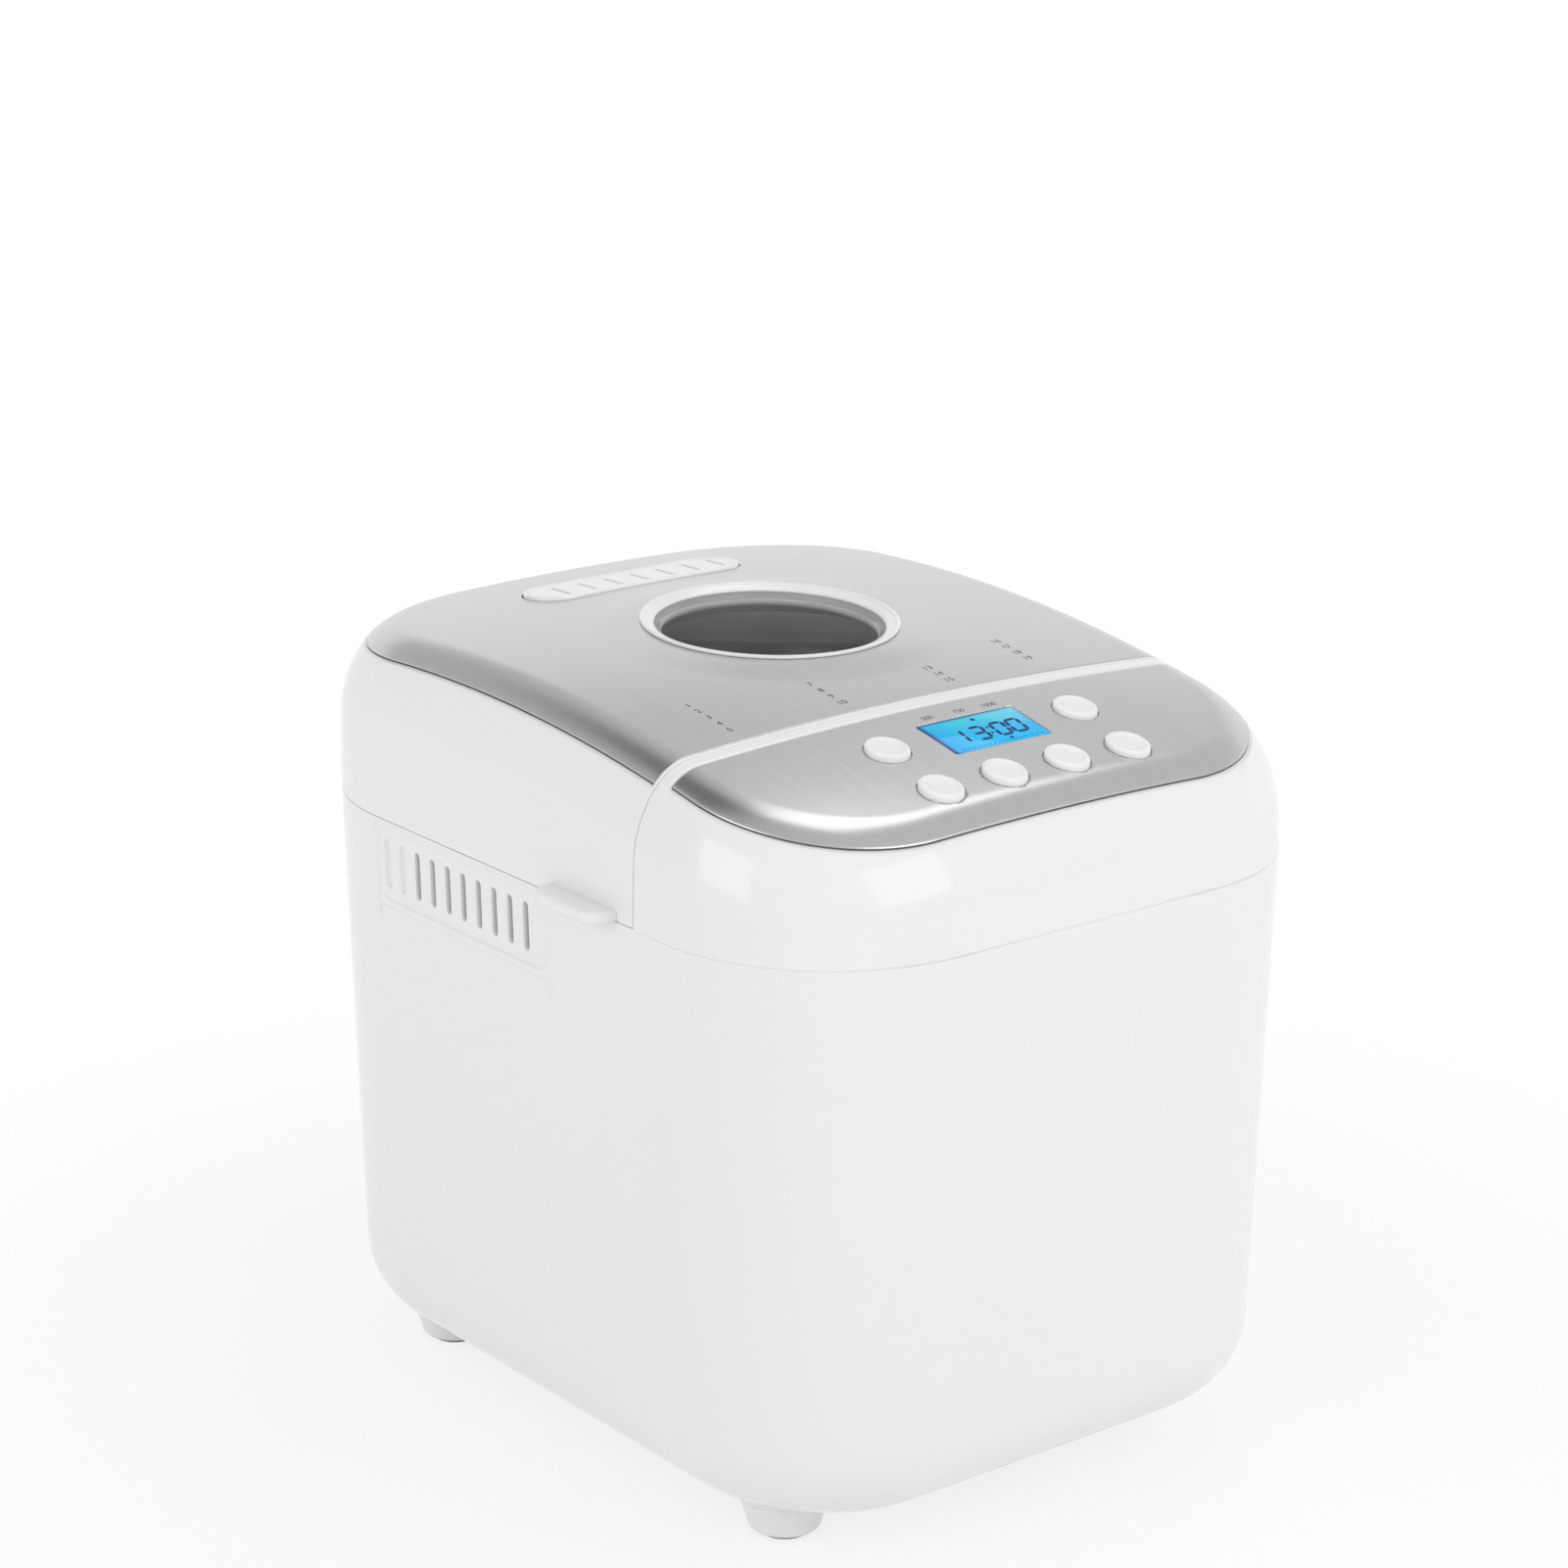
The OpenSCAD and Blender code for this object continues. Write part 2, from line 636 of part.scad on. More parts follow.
module tact_switches() color("black") at_buttons() {
    translate([-switch_w / 2, -switch_w / 2, board_z + board_t]) cube([switch_w, switch_w, switch_h]);
    rod(board_z + board_t + switch_h, plunger_top, 1.7);
}
module control_screws() color("silver") for (p = board_screws) translate([p[0], p[1], 0]) {
    rod(board_z - 2.2, board_z, 2.8);
    rod(board_z, board_z + board_t + 7, board_screw_r);
}

// ---- Buttons ----

cap_rise = 1.9;
cap_chamfer = 1.2;
button_flange_r = button_r + 1.5;
button_flange_t = 1.5;
button_skirt = button_flange_r * 0.26 + shell_t + 1;

// The cap's top face lies along the panel, and the button moves straight down.
module button(p) color("white") {
    flange_top = arch_z(p[0], p[1]) - button_skirt;
    translate([p[0], p[1], 0]) {
        intersection() {
            rod(flange_top - button_flange_t, flange_top + 2 * button_skirt, button_r);
            translate([0, 0, flange_top + button_skirt]) rotate([arch_tilt(p[1]), 0, 0]) rotate_extrude()
                polygon([[0, -2 * button_skirt], [2 * button_r, -2 * button_skirt], [2 * button_r, 0],
                    [button_r + bed_gap, 0], [button_r + bed_gap, cap_rise - cap_chamfer],
                    [button_r - cap_chamfer, cap_rise], [0, cap_rise]]);
        }
        rod(flange_top - button_flange_t, flange_top, button_flange_r);
        rod(stem_bottom, flange_top - button_flange_t, 2.6);
    }
}
module button_menu() button(button_places[0]);
module button_start() button(button_places[1]);
module button_weight() button(button_places[2]);
module button_timer_down() button(button_places[3]);
module button_timer_up() button(button_places[4]);
module button_crust() button(button_places[5]);

// ---- Lid ----

lid_z = seam_h + lid_gap;
lid_angle = edge_angle(lid_plate_in);
hood_hw = chamber_w / 2 + 4;
hood_hl = chamber_l / 2 - 2;
hood_top = seam_h + 36;
hood_corner_r = 16;
hood_flange = 7;
frame_z = lid_z + 1;
frame_t = 2.5;
frame_in = shell_t + 0.5;
notch_h = tongue_h + 1.5;
tab_y = -45;
tab_l = 38;
tab_out = 10;
tab_t = 4;
tab_corner_r = 8;
lid_screw_places = [[-104, -50], [104, -50], [-102.5, 92], [102.5, 92]];
lid_boss_r = 4;
lid_screw_r = 1.6;

vent_shift = 2.6;

// The row of steam slots sits a little to the right of the middle.
function vent_slot_x(i) = vent_shift + (i - (vent_slots - 1) / 2) * vent_pitch;
function lid_grid(path, rings, z0, off) = concat([for (p = path) rim_point(p, off, z0)],
    [for (ring = rings) for (p = path) surface_point(p, ring, z0)]);

module at_window() {
    translate([0, window_y, arch_z(0, window_y)]) rotate([arch_tilt(window_y), 0, 0]) children();
}
module at_vent() {
    translate([0, vent_y, arch_z(0, vent_y)]) rotate([arch_tilt(vent_y), 0, 0]) children();
}
// The lid plate is pressed flat round the window, so that the window ring has a level seat.
press_top = -0.5;
press_r = window_ring_r + 5;
press_depth = press_r * press_r / (2 * arch_r) + plate_t + 0.4;
vent_seat = -1.8;

module finger_tab() {
    root = half_w - shell_t + slide_gap;
    intersection() {
        box([root, half_w + tab_out], [tab_y - tab_l / 2, tab_y + tab_l / 2], [lid_z, lid_z + tab_t]);
        translate([0, tab_y, lid_z]) linear_extrude(height = tab_t)
            rounded(half_w + tab_out, tab_l / 2, tab_corner_r, tab_corner_r);
    }
}
module lid_shell() color("whitesmoke") {
    outer = rear_path(split_y);
    inner = rear_path(split_y + shell_t);
    notch_half = tongue_half + 0.5;
    difference() {
        union() {
            dome_shell(outer, inner, lid_grid(outer, stepped_rings(lid_angle, 0, plate_t + bed_gap), lid_z, 0),
                lid_grid(inner, stepped_rings(lid_angle, shell_t, 0), lid_z, shell_t), false);
            for (p = lid_screw_places)
                translate([p[0], p[1], 0]) rod(frame_z + frame_t, arch_z(p[0], p[1]) - 3, lid_boss_r);
            finger_tab();
            mirror([1, 0, 0]) finger_tab();
        }
        at_window() {
            rod(-20, 10, window_ring_r - 1);
            tube(-press_depth - slide_gap, 10, press_r + slide_gap, press_r - plate_t - slide_gap);
        }
        at_vent() {
            plate(-30, 60) stadium(vent_half, vent_r - 1.2);
            plate(vent_seat, 10) stadium(vent_half, vent_r + 0.1);
        }
        box([-notch_half, notch_half], [hinge_y - 12, half_d + 1], [seam_h, seam_h + notch_h]);
        for (p = lid_screw_places)
            translate([p[0], p[1], 0]) rod(frame_z, frame_z + frame_t + 14, lid_screw_r + fit_gap);
    }
}
module lid_plate() color("silver") {
    start = edge_angle(lid_plate_in + groove);
    difference() {
        dome_sheet(rear_path(split_y), rings_from(start, 0), rings_from(start, plate_t), false);
        at_window() rod(-10, 10, press_r - plate_t / 2);
        at_vent() plate(-10, 20) stadium(vent_half, vent_r + 0.1);
    }
    at_window() {
        tube(press_top - plate_t, press_top, press_r - plate_t / 2, window_ring_r - 1);
        tube(-press_depth, press_top, press_r, press_r - plate_t);
    }
}
module lid_frame() color("white") {
    arm = tongue_h + 2;
    difference() {
        intersection() {
            plate(frame_z, frame_t) body_outline(frame_in);
            box([-half_w, half_w], [split_y + shell_t + 0.2, hinge_y - arm], [frame_z, frame_z + frame_t]);
        }
        plate(frame_z - 5, frame_t + 10) translate([0, chamber_y])
            rounded(hood_hw + liner_t + slide_gap, hood_hl + liner_t + slide_gap, hood_corner_r, hood_corner_r);
        for (p = lid_screw_places) translate([p[0], p[1], 0]) rod(0, crown_h, lid_screw_r + 0.2);
    }
    at_hinges() difference() {
        union() {
            rod_x(-knuckle_w / 2, knuckle_w / 2, knuckle_r);
            box([-knuckle_w / 2, knuckle_w / 2], [-arm - 1, 0], [frame_z - hinge_z, knuckle_r]);
        }
        rod_x(-half_w, half_w, hinge_pin_r + fit_gap);
    }
}
module lid_screws() color("silver") for (p = lid_screw_places) translate([p[0], p[1], 0]) {
    rod(frame_z - 0.9, frame_z, 2.8);
    rod(frame_z, frame_z + frame_t + 12, lid_screw_r);
}

// Section of a sheet-metal hood or tub: wall, rounded floor edge and outward flange.
module sheet_section(z_floor, z_rim, t, round_r, reach, flange) {
    side = z_rim > z_floor ? 1 : -1;
    translate([0, z_floor]) scale([1, side]) {
        h = abs(z_rim - z_floor);
        translate([0, round_r]) square([t, h - round_r]);
        translate([-reach, -t]) square([reach - round_r, t]);
        intersection() {
            difference() {
                translate([-round_r, round_r]) circle(r = round_r + t);
                translate([-round_r, round_r]) circle(r = round_r);
            }
            translate([-round_r, -t]) square([round_r + t, round_r + t]);
        }
        if (flange > 0) translate([0, h]) square([flange, t]);
        if (flange > 0) translate([0, h - t]) square([t, t]);
    }
}
module lid_liner() color("silver") {
    vent_hole_r = 3;
    reach = 20;
    difference() {
        union() {
            translate([0, chamber_y, 0]) swept(hood_hw, hood_hl, hood_corner_r, hood_corner_r)
                sheet_section(hood_top, frame_z, liner_t, 5, hood_corner_r - 1, hood_flange);
            plate(hood_top, liner_t) translate([0, chamber_y])
                rounded(hood_hw - 6, hood_hl - 6, hood_corner_r - 6, hood_corner_r - 6);
        }
        translate([0, window_y, 0]) rod(seam_h, crown_h, window_glass_r - 3);
        for (i = [0:vent_slots - 1])
            translate([vent_slot_x(i), vent_y, 0]) rod(seam_h, crown_h, vent_hole_r);
    }
}
module window_ring() color("white") at_window() rotate_extrude() {
    seat = window_glass_r + 0.2;
    body_r = window_ring_r - 1.6;
    ring_top = press_top + 1.4;
    polygon([[seat - 2.6, -glass_t - 3], [body_r, -glass_t - 3], [body_r, press_top],
        [window_ring_r + 0.5, press_top], [window_ring_r + 0.5, ring_top - 0.6],
        [window_ring_r - 0.4, ring_top], [window_ring_r - 3, ring_top], [seat, ring_top - 1.9],
        [seat, -glass_t - 1.2], [seat - 2.6, -glass_t - 1.2]]);
}
module window_glass() color("lightblue") at_window() rod(-glass_t - 1.2, -1.2, window_glass_r);
module window_well() color("silver") translate([0, window_y, 0])
    tube(hood_top + liner_t, arch_z(0, window_y) - glass_t - 5.2, window_glass_r + 2.4, window_glass_r + 1.4);
module inner_glass() color("lightblue") translate([0, window_y, 0])
    rod(hood_top + liner_t, hood_top + liner_t + glass_t, window_glass_r + 1);
module steam_vent() color("white") at_vent() {
    face_top = 0.6;
    neck_depth = 9;
    difference() {
        union() {
            plate(vent_seat, face_top - vent_seat) stadium(vent_half, vent_r);
            plate(-neck_depth, neck_depth) stadium(vent_half, vent_r - 1.5);
        }
        plate(-neck_depth - cut_over, neck_depth) stadium(vent_half, vent_r - 3);
        for (i = [0:vent_slots - 1])
            translate([vent_slot_x(i), 0, 0]) plate(-5, 10) rotate(90 - vent_slant) stadium(6.5, 1);
    }
}

// ---- Baking chamber ----

rim_z = deck_z + deck_t;
liner_flange = 7;
floor_round_r = 8;
element_z = chamber_floor_h + 20;
element_hw = chamber_w / 2 - 12;
element_hl = chamber_l / 2 - 6;
element_corner_r = 20;
terminal_x = 12;
terminal_y = chamber_y - element_hl;
liner_front_y = chamber_y - chamber_l / 2;
insulator_r = 5;
probe_y = chamber_y + 30;
probe_z = chamber_floor_h + 50;
probe_r = 2.4;
neck_r = 11.5;

module chamber_liner() color("gray") {
    difference() {
        union() {
            translate([0, chamber_y, 0])
                swept(chamber_w / 2, chamber_l / 2, chamber_corner_r, chamber_corner_r)
                    sheet_section(chamber_floor_h, rim_z, liner_t, floor_round_r, chamber_corner_r - 1,
                        liner_flange);
            plate(chamber_floor_h - liner_t, liner_t) translate([0, chamber_y])
                rounded(chamber_w / 2 - 10, chamber_l / 2 - 10, 4, 4);
        }
        translate([0, chamber_y, 0]) rod(0, chamber_floor_h + 5, neck_r + 2);
        for (s = [-1, 1]) translate([s * terminal_x, 0, element_z])
            rod_y(liner_front_y - 5, liner_front_y + 5, insulator_r + fit_gap);
        translate([0, probe_y, probe_z]) rod_x(-half_w, 0, probe_r + 0.2);
    }
}
module heating_element() color("dimgray") {
    translate([0, chamber_y, element_z]) difference() {
        swept(element_hw, element_hl, element_corner_r, element_corner_r) circle(r = element_r);
        box([-terminal_x, terminal_x], [-element_hl - 10, -element_hl + 10], [-10, 10]);
    }
    for (s = [-1, 1]) translate([s * terminal_x, 0, element_z]) {
        rod_y(liner_front_y - 14, terminal_y, element_r);
        intersection() {
            translate([0, terminal_y, 0]) sphere(r = element_r);
            box([-10, 10], [-half_d, half_d], [-10, 10]);
        }
    }
}
module element_insulators() color("ivory") for (s = [-1, 1])
    translate([s * terminal_x, 0, element_z]) difference() {
        rod_y(liner_front_y - 7, liner_front_y + 1.5, insulator_r);
        rod_y(liner_front_y - 8, liner_front_y + 3, element_r + fit_gap);
    }
module element_clips() color("silver") {
    clip_w = 8;
    for (s = [-1, 1]) for (y = [-40, 40]) translate([s * element_hw, chamber_y + y, 0]) difference() {
        box([-3, 3], [-clip_w / 2, clip_w / 2], [chamber_floor_h, element_z]);
        translate([0, 0, element_z]) rod_y(-clip_w, clip_w, element_r + fit_gap);
    }
}
module temperature_probe() color("silver") translate([0, probe_y, probe_z]) {
    outside = -chamber_w / 2 - liner_t;
    rod_x(outside - 9, -chamber_w / 2 + 8, probe_r);
    rod_x(outside - 1.6, outside, 7);
}

// ---- Pan and its socket ----

pan_z = chamber_floor_h + 16;
pan_rim_z = pan_z + pan_h;
pan_draft = 1.2;
pan_round_r = 8;
skirt_r = 38.5;
skirt_t = 2;
pan_base_r = 43;
base_flange_t = 1.8;
bush_r = 9;
bush_flange_r = 14;
bush_top = pan_z + 5;
seal_top = bush_top + 3;
rim_bead_r = 1.6;
ear_z = pan_rim_z - 11;
pan_ear_r = 5.5;
pan_ear_t = 3;
socket_gap = 0.7;

module pan_socket() color("silver") translate([0, chamber_y, chamber_floor_h]) {
    wall_r = skirt_r + socket_gap;
    clip_half = 5;
    difference() {
        union() {
            tube(0, liner_t, wall_r + 12, wall_r);
            tube(0, 9, wall_r + 1.4, wall_r);
        }
        for (a = [0:90:270]) rotate(a + 45) box([wall_r - 5, wall_r + 5], [-clip_half - 1, clip_half + 1],
            [liner_t, 10]);
    }
    for (a = [0:90:270]) rotate(a + 45) {
        box([wall_r - 0.3, wall_r + 0.5], [-clip_half, clip_half], [liner_t, 11]);
        box([wall_r - 0.3, wall_r + 8], [-clip_half, clip_half], [liner_t, liner_t + 0.8]);
    }
}
module pan_section() {
    lean = tan(pan_draft);
    h = pan_h - pan_round_r;
    polygon([[-lean * h, pan_z + pan_round_r], [0, pan_rim_z - rim_bead_r], [-pan_t, pan_rim_z - rim_bead_r],
        [-pan_t - lean * h, pan_z + pan_round_r]]);
    translate([-pan_t / 2 + rim_bead_r / 2, pan_rim_z - rim_bead_r]) circle(r = rim_bead_r);
    intersection() {
        translate([-lean * h - pan_round_r, pan_z + pan_round_r]) difference() {
            circle(r = pan_round_r);
            circle(r = pan_round_r - pan_t);
        }
        translate([-lean * h - pan_round_r, pan_z]) square([pan_round_r, pan_round_r]);
    }
    translate([-pan_corner_r + 1, pan_z]) square([pan_corner_r - 1 - lean * h - pan_round_r, pan_t]);
}
module bread_pan() color("dimgray") {
    difference() {
        union() {
            translate([0, chamber_y, 0]) swept(pan_w / 2, pan_l / 2, pan_corner_r, pan_corner_r) pan_section();
            plate(pan_z, pan_t) translate([0, chamber_y])
                rounded(pan_w / 2 - 14, pan_l / 2 - 14, pan_corner_r - 14, pan_corner_r - 14);
        }
        translate([0, chamber_y, 0]) rod(0, pan_z + 10, bush_r + fit_gap);
    }
}
module pan_base() color("silver") translate([0, chamber_y, 0]) {
    tube(chamber_floor_h + slide_gap, pan_z - base_flange_t, skirt_r, skirt_r - skirt_t);
    tube(pan_z - base_flange_t, pan_z, pan_base_r, bush_flange_r + slide_gap);
}
module pan_ears() color("silver") for (s = [0, 1]) mirror([s, 0, 0])
    translate([pan_w / 2, chamber_y, ear_z]) difference() {
        union() {
            rod_x(0, pan_ear_t, pan_ear_r);
            box([0, pan_ear_t - 1.8], [-9, 9], [-10, 0]);
        }
        rod_x(-cut_over, pan_ear_t + cut_over, bail_rod_r + fit_gap);
    }
module pan_bearing() color("goldenrod") translate([0, chamber_y, 0]) {
    tube(pan_z - base_flange_t, pan_z, bush_flange_r, shaft_r + fit_gap);
    tube(pan_z, bush_top, bush_r, shaft_r + fit_gap);
}
module shaft_seal() color("firebrick") translate([0, chamber_y, 0])
    tube(bush_top, seal_top, bush_r - 1, shaft_r + fit_gap);

wing_z = chamber_floor_h + 9;
wing_h = 4.5;
wing_l = 11;
wing_w = 2.4;
hub_r = 10;
hub_z = seal_top + 0.4;
hub_h = 18;
flat_x = shaft_r - 1;

module pan_shaft() color("silver") translate([0, chamber_y, 0]) {
    difference() {
        rod(wing_z, hub_z + hub_h - 3, shaft_r);
        box([flat_x, shaft_r + 1], [-shaft_r - 1, shaft_r + 1], [hub_z, hub_z + hub_h]);
    }
    box([-wing_w, wing_w], [-wing_l, wing_l], [wing_z, wing_z + wing_h]);
}
module kneading_paddle() color("dimgray") translate([0, chamber_y, hub_z]) {
    blade_t = 5;
    tip_r = 9;
    difference() {
        union() {
            rod(0, hub_h, hub_r);
            translate([0, 0, hub_h]) intersection() {
                sphere(r = hub_r);
                rod(0, hub_r * 0.5, hub_r);
            }
            rotate([90, 0, 0]) translate([0, 0, -blade_t / 2]) linear_extrude(height = blade_t) hull() {
                translate([0, 0]) square([blade_l - 4, hub_h * 0.6]);
                translate([0, hub_h * 0.5]) square([4, hub_h * 0.5]);
                translate([blade_l - tip_r, blade_h - tip_r]) circle(r = tip_r);
                translate([blade_l - 3, 3]) circle(r = 3);
            }
        }
        difference() {
            rod(-cut_over, hub_h - 2, shaft_r + fit_gap);
            box([flat_x + fit_gap, shaft_r + 2], [-shaft_r - 2, shaft_r + 2], [-5, hub_h]);
        }
    }
}

bail_x = pan_w / 2 + pan_ear_t + bail_rod_r + 0.8;
bail_rise = asin((pan_rim_z + bail_rod_r + 0.6 - ear_z) / bail_arm);
bail_bend_r = 12;
module bail_handle() color("silver") translate([0, chamber_y, ear_z]) rotate([bail_rise, 0, 0]) {
    for (s = [0, 1]) mirror([s, 0, 0]) {
        translate([bail_x, 0, 0]) rod_y(0, bail_arm - bail_bend_r, bail_rod_r);
        translate([bail_x, 0, 0]) sphere(r = bail_rod_r);
        rod_x(pan_w / 2 + 0.4, bail_x, bail_rod_r);
        translate([bail_x - bail_bend_r, bail_arm - bail_bend_r, 0])
            rotate_extrude(angle = 90) translate([bail_bend_r, 0]) circle(r = bail_rod_r);
    }
    translate([0, bail_arm, 0]) rod_x(-bail_x + bail_bend_r, bail_x - bail_bend_r, bail_rod_r);
}

// ---- Chassis and drive ----

chassis_t = 1.2;
chassis_top = chamber_floor_h - 15;
chassis_z = chassis_top - chassis_t;
chassis_hw = 86;
chassis_rear = 118;
chassis_front = motor_y - 32;
leg_w = 20;
leg_tab = 10;
leg_y = [-55, 75];
prop_x = 70;
prop_y = [-35, 99];
barrel_r = 14;
barrel_bore = 7.05;
pulley_top = chassis_z - 6;
pulley_w = 12;
pulley_z = pulley_top - pulley_w;
belt_t = 2;
belt_z = pulley_z + 2;
belt_w = pulley_w - 4;
groove_depth = 3;
large_run_r = large_pulley_r - groove_depth + slide_gap;
motor_run_r = motor_pulley_r - groove_depth + slide_gap + 1;
capacitor_x = -62;
capacitor_r = 13;
board_x = 66;
bell_r = 25;
bell_h = 16;
motor_shaft_r = 3;

module chassis() color("silver") {
    difference() {
        box([-chassis_hw, chassis_hw], [chassis_front, chassis_rear], [chassis_z, chassis_top]);
        translate([0, chamber_y, 0]) rod(0, chassis_top + 5, barrel_r + slide_gap);
        translate([0, motor_y, 0]) rod(0, chassis_top + 5, 12);
    }
    for (s = [0, 1]) mirror([s, 0, 0]) {
        for (y = leg_y) {
            box([chassis_hw - chassis_t, chassis_hw], [y - leg_w / 2, y + leg_w / 2], [base_top, chassis_z]);
            box([chassis_hw - leg_tab, chassis_hw], [y - leg_w / 2, y + leg_w / 2],
                [base_top, base_top + chassis_t]);
        }
        for (y = prop_y) {
            box([prop_x, prop_x + chassis_t], [y - 7, y + 7], [chassis_top, chamber_floor_h - liner_t]);
            box([prop_x - 8, prop_x], [y - 7, y + 7],
                [chamber_floor_h - liner_t - chassis_t, chamber_floor_h - liner_t]);
        }
    }
    box([board_x + board_t, board_x + board_t + chassis_t], [motor_y - 8, motor_y + 8],
        [chassis_top, chassis_top + 30]);
}
module bearing_housing() color("darkgray") translate([0, chamber_y, 0]) difference() {
    union() {
        rod(pulley_top + 1.5, chamber_floor_h - 2, barrel_r);
        rod(chassis_top, chassis_top + 3.5, barrel_r + 10);
        rod(chamber_floor_h - 2, chamber_floor_h + 3, neck_r);
    }
    rod(0, chamber_floor_h + 10, barrel_bore);
}
module bearing_bushes() color("goldenrod") translate([0, chamber_y, 0]) {
    tube(pulley_top + 2, pulley_top + 10, barrel_bore - fit_gap / 2, shaft_r + fit_gap);
    tube(chamber_floor_h - 6, chamber_floor_h + 2, barrel_bore - fit_gap / 2, shaft_r + fit_gap);
}
module drive_shaft() color("silver") translate([0, chamber_y, 0])
    rod(pulley_z - 2, wing_z - 1.2, shaft_r);
module drive_coupling() color("dimgray") translate([0, chamber_y, 0]) {
    tube(chamber_floor_h + 3.4, wing_z - 1, 13, shaft_r + 0.02);
    for (s = [-1, 1]) translate([s * 10, 0, 0]) box([-3, 3], [-3, 3], [wing_z - 1, wing_z + wing_h]);
}

// Section of a pulley with a flat groove between two flanges.
module pulley_rim(r, rim_t) {
    translate([r - rim_t, pulley_z]) square([rim_t - groove_depth, pulley_w]);
    for (z = [pulley_z, pulley_top - 1.5]) translate([r - rim_t, z]) square([rim_t, 1.5]);
}
module large_pulley() color("black") translate([0, chamber_y, 0]) {
    web_z = pulley_z + pulley_w / 2 - 1.5;
    rim_t = 6;
    hub = 9;
    rotate_extrude() {
        pulley_rim(large_pulley_r, rim_t);
        translate([hub, web_z]) square([large_pulley_r - rim_t - hub, 3]);
        translate([shaft_r + 0.02, pulley_z]) square([hub - shaft_r - 0.02, pulley_w]);
    }
}
module motor_pulley() color("silver") translate([0, motor_y, 0])
    rotate_extrude() pulley_rim(motor_pulley_r + 1, motor_pulley_r + 1 - motor_shaft_r - 0.02);

// Loop of two arcs and their outer tangents.
belt_span = chamber_y - motor_y;
module belt_outline(grow) {
    big = large_run_r + grow;
    small = motor_run_r + grow;
    lean = asin((big - small) / belt_span);
    translate([0, chamber_y]) circle(r = big);
    translate([0, motor_y]) circle(r = small);
    polygon([[big * cos(lean), chamber_y - big * sin(lean)], [-big * cos(lean), chamber_y - big * sin(lean)],
        [-small * cos(lean), motor_y - small * sin(lean)], [small * cos(lean), motor_y - small * sin(lean)]]);
}
module drive_belt() color("black") plate(belt_z, belt_w) difference() {
    belt_outline(belt_t);
    belt_outline(0);
}
module motor_shaft() color("silver") translate([0, motor_y, 0])
    rod(pulley_z - 1, chassis_top + 2 * bell_h + stator_h + 14, motor_shaft_r);
module motor_fan() color("white") translate([0, motor_y, chassis_top + 2 * bell_h + stator_h + 2]) {
    tube(0, 10, 7, motor_shaft_r + 0.02);
    for (a = [0:45:315]) rotate(a) box([6.5, 24], [-0.8, 0.8], [1, 9]);
    tube(0, 1.2, 24, 6.5);
}
module motor_stator() color("silver") translate([0, motor_y, chassis_top + bell_h]) difference() {
    plate(0, stator_h) rounded(stator_w / 2, stator_w / 2, 6, 6);
    rod(-1, stator_h + 1, 16);
}
module motor_rotor() color("darkgray") translate([0, motor_y, chassis_top + bell_h])
    tube(0.5, stator_h - 0.5, 16 - 2 * slide_gap, motor_shaft_r + 0.02);
module motor_end_bells() color("lightgray") translate([0, motor_y, chassis_top]) {
    tube(0, bell_h, bell_r, motor_shaft_r + fit_gap);
    tube(bell_h + stator_h, 2 * bell_h + stator_h, bell_r, motor_shaft_r + fit_gap);
}
module motor_capacitor() color("white") translate([capacitor_x, motor_y, chassis_top]) {
    rod(0, 38, capacitor_r);
    for (s = [-1, 1]) box([s * 5 - 0.4, s * 5 + 0.4], [-3, 3], [38, 46]);
}
module power_board() color("darkgreen") {
    y0 = motor_y - 26;
    y1 = motor_y + 34;
    box([board_x, board_x + board_t], [y0, y1], [chassis_top, chassis_top + 78]);
    box([board_x - 16, board_x], [y0 + 6, y0 + 26], [chassis_top + 44, chassis_top + 72]);
    box([board_x - 22, board_x], [y1 - 28, y1 - 2], [chassis_top + 8, chassis_top + 36]);
}
module cord_gland() color("black") translate([gland_x, 0, gland_z]) {
    y_wall = half_d - tan(lower_draft) * (seam_h - gland_z);
    cord_r = 3.6;
    difference() {
        union() {
            rod_y(y_wall - 16, y_wall + 2.6, gland_r);
            rod_y(y_wall + 0.4, y_wall + 3, gland_r + 2.5);
            rod_y(y_wall - wall_t - 3, y_wall - wall_t - 0.4, gland_r + 2);
        }
        rod_y(y_wall - 20, y_wall + 10, cord_r);
    }
}

lower_housing();
base_plate();
feet();
foot_pads();
base_screws();
top_deck();
front_cover();
control_plate();
lcd_lens();
lcd_module();
control_board();
tact_switches();
control_screws();
button_menu();
button_start();
button_weight();
button_timer_down();
button_timer_up();
button_crust();
lid_shell();
lid_plate();
lid_frame();
lid_liner();
lid_screws();
window_ring();
window_glass();
window_well();
inner_glass();
steam_vent();
hinge_pins();
chamber_liner();
heating_element();
element_insulators();
element_clips();
temperature_probe();
pan_socket();
bread_pan();
pan_base();
pan_ears();
pan_bearing();
shaft_seal();
pan_shaft();
kneading_paddle();
bail_handle();
chassis();
bearing_housing();
bearing_bushes();
drive_shaft();
drive_coupling();
large_pulley();
drive_belt();
motor_pulley();
motor_shaft();
motor_fan();
motor_rotor();
motor_stator();
motor_end_bells();
motor_capacitor();
power_board();
cord_gland();
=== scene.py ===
import math
import bmesh
import bpy
import numpy as np
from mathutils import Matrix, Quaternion, Vector


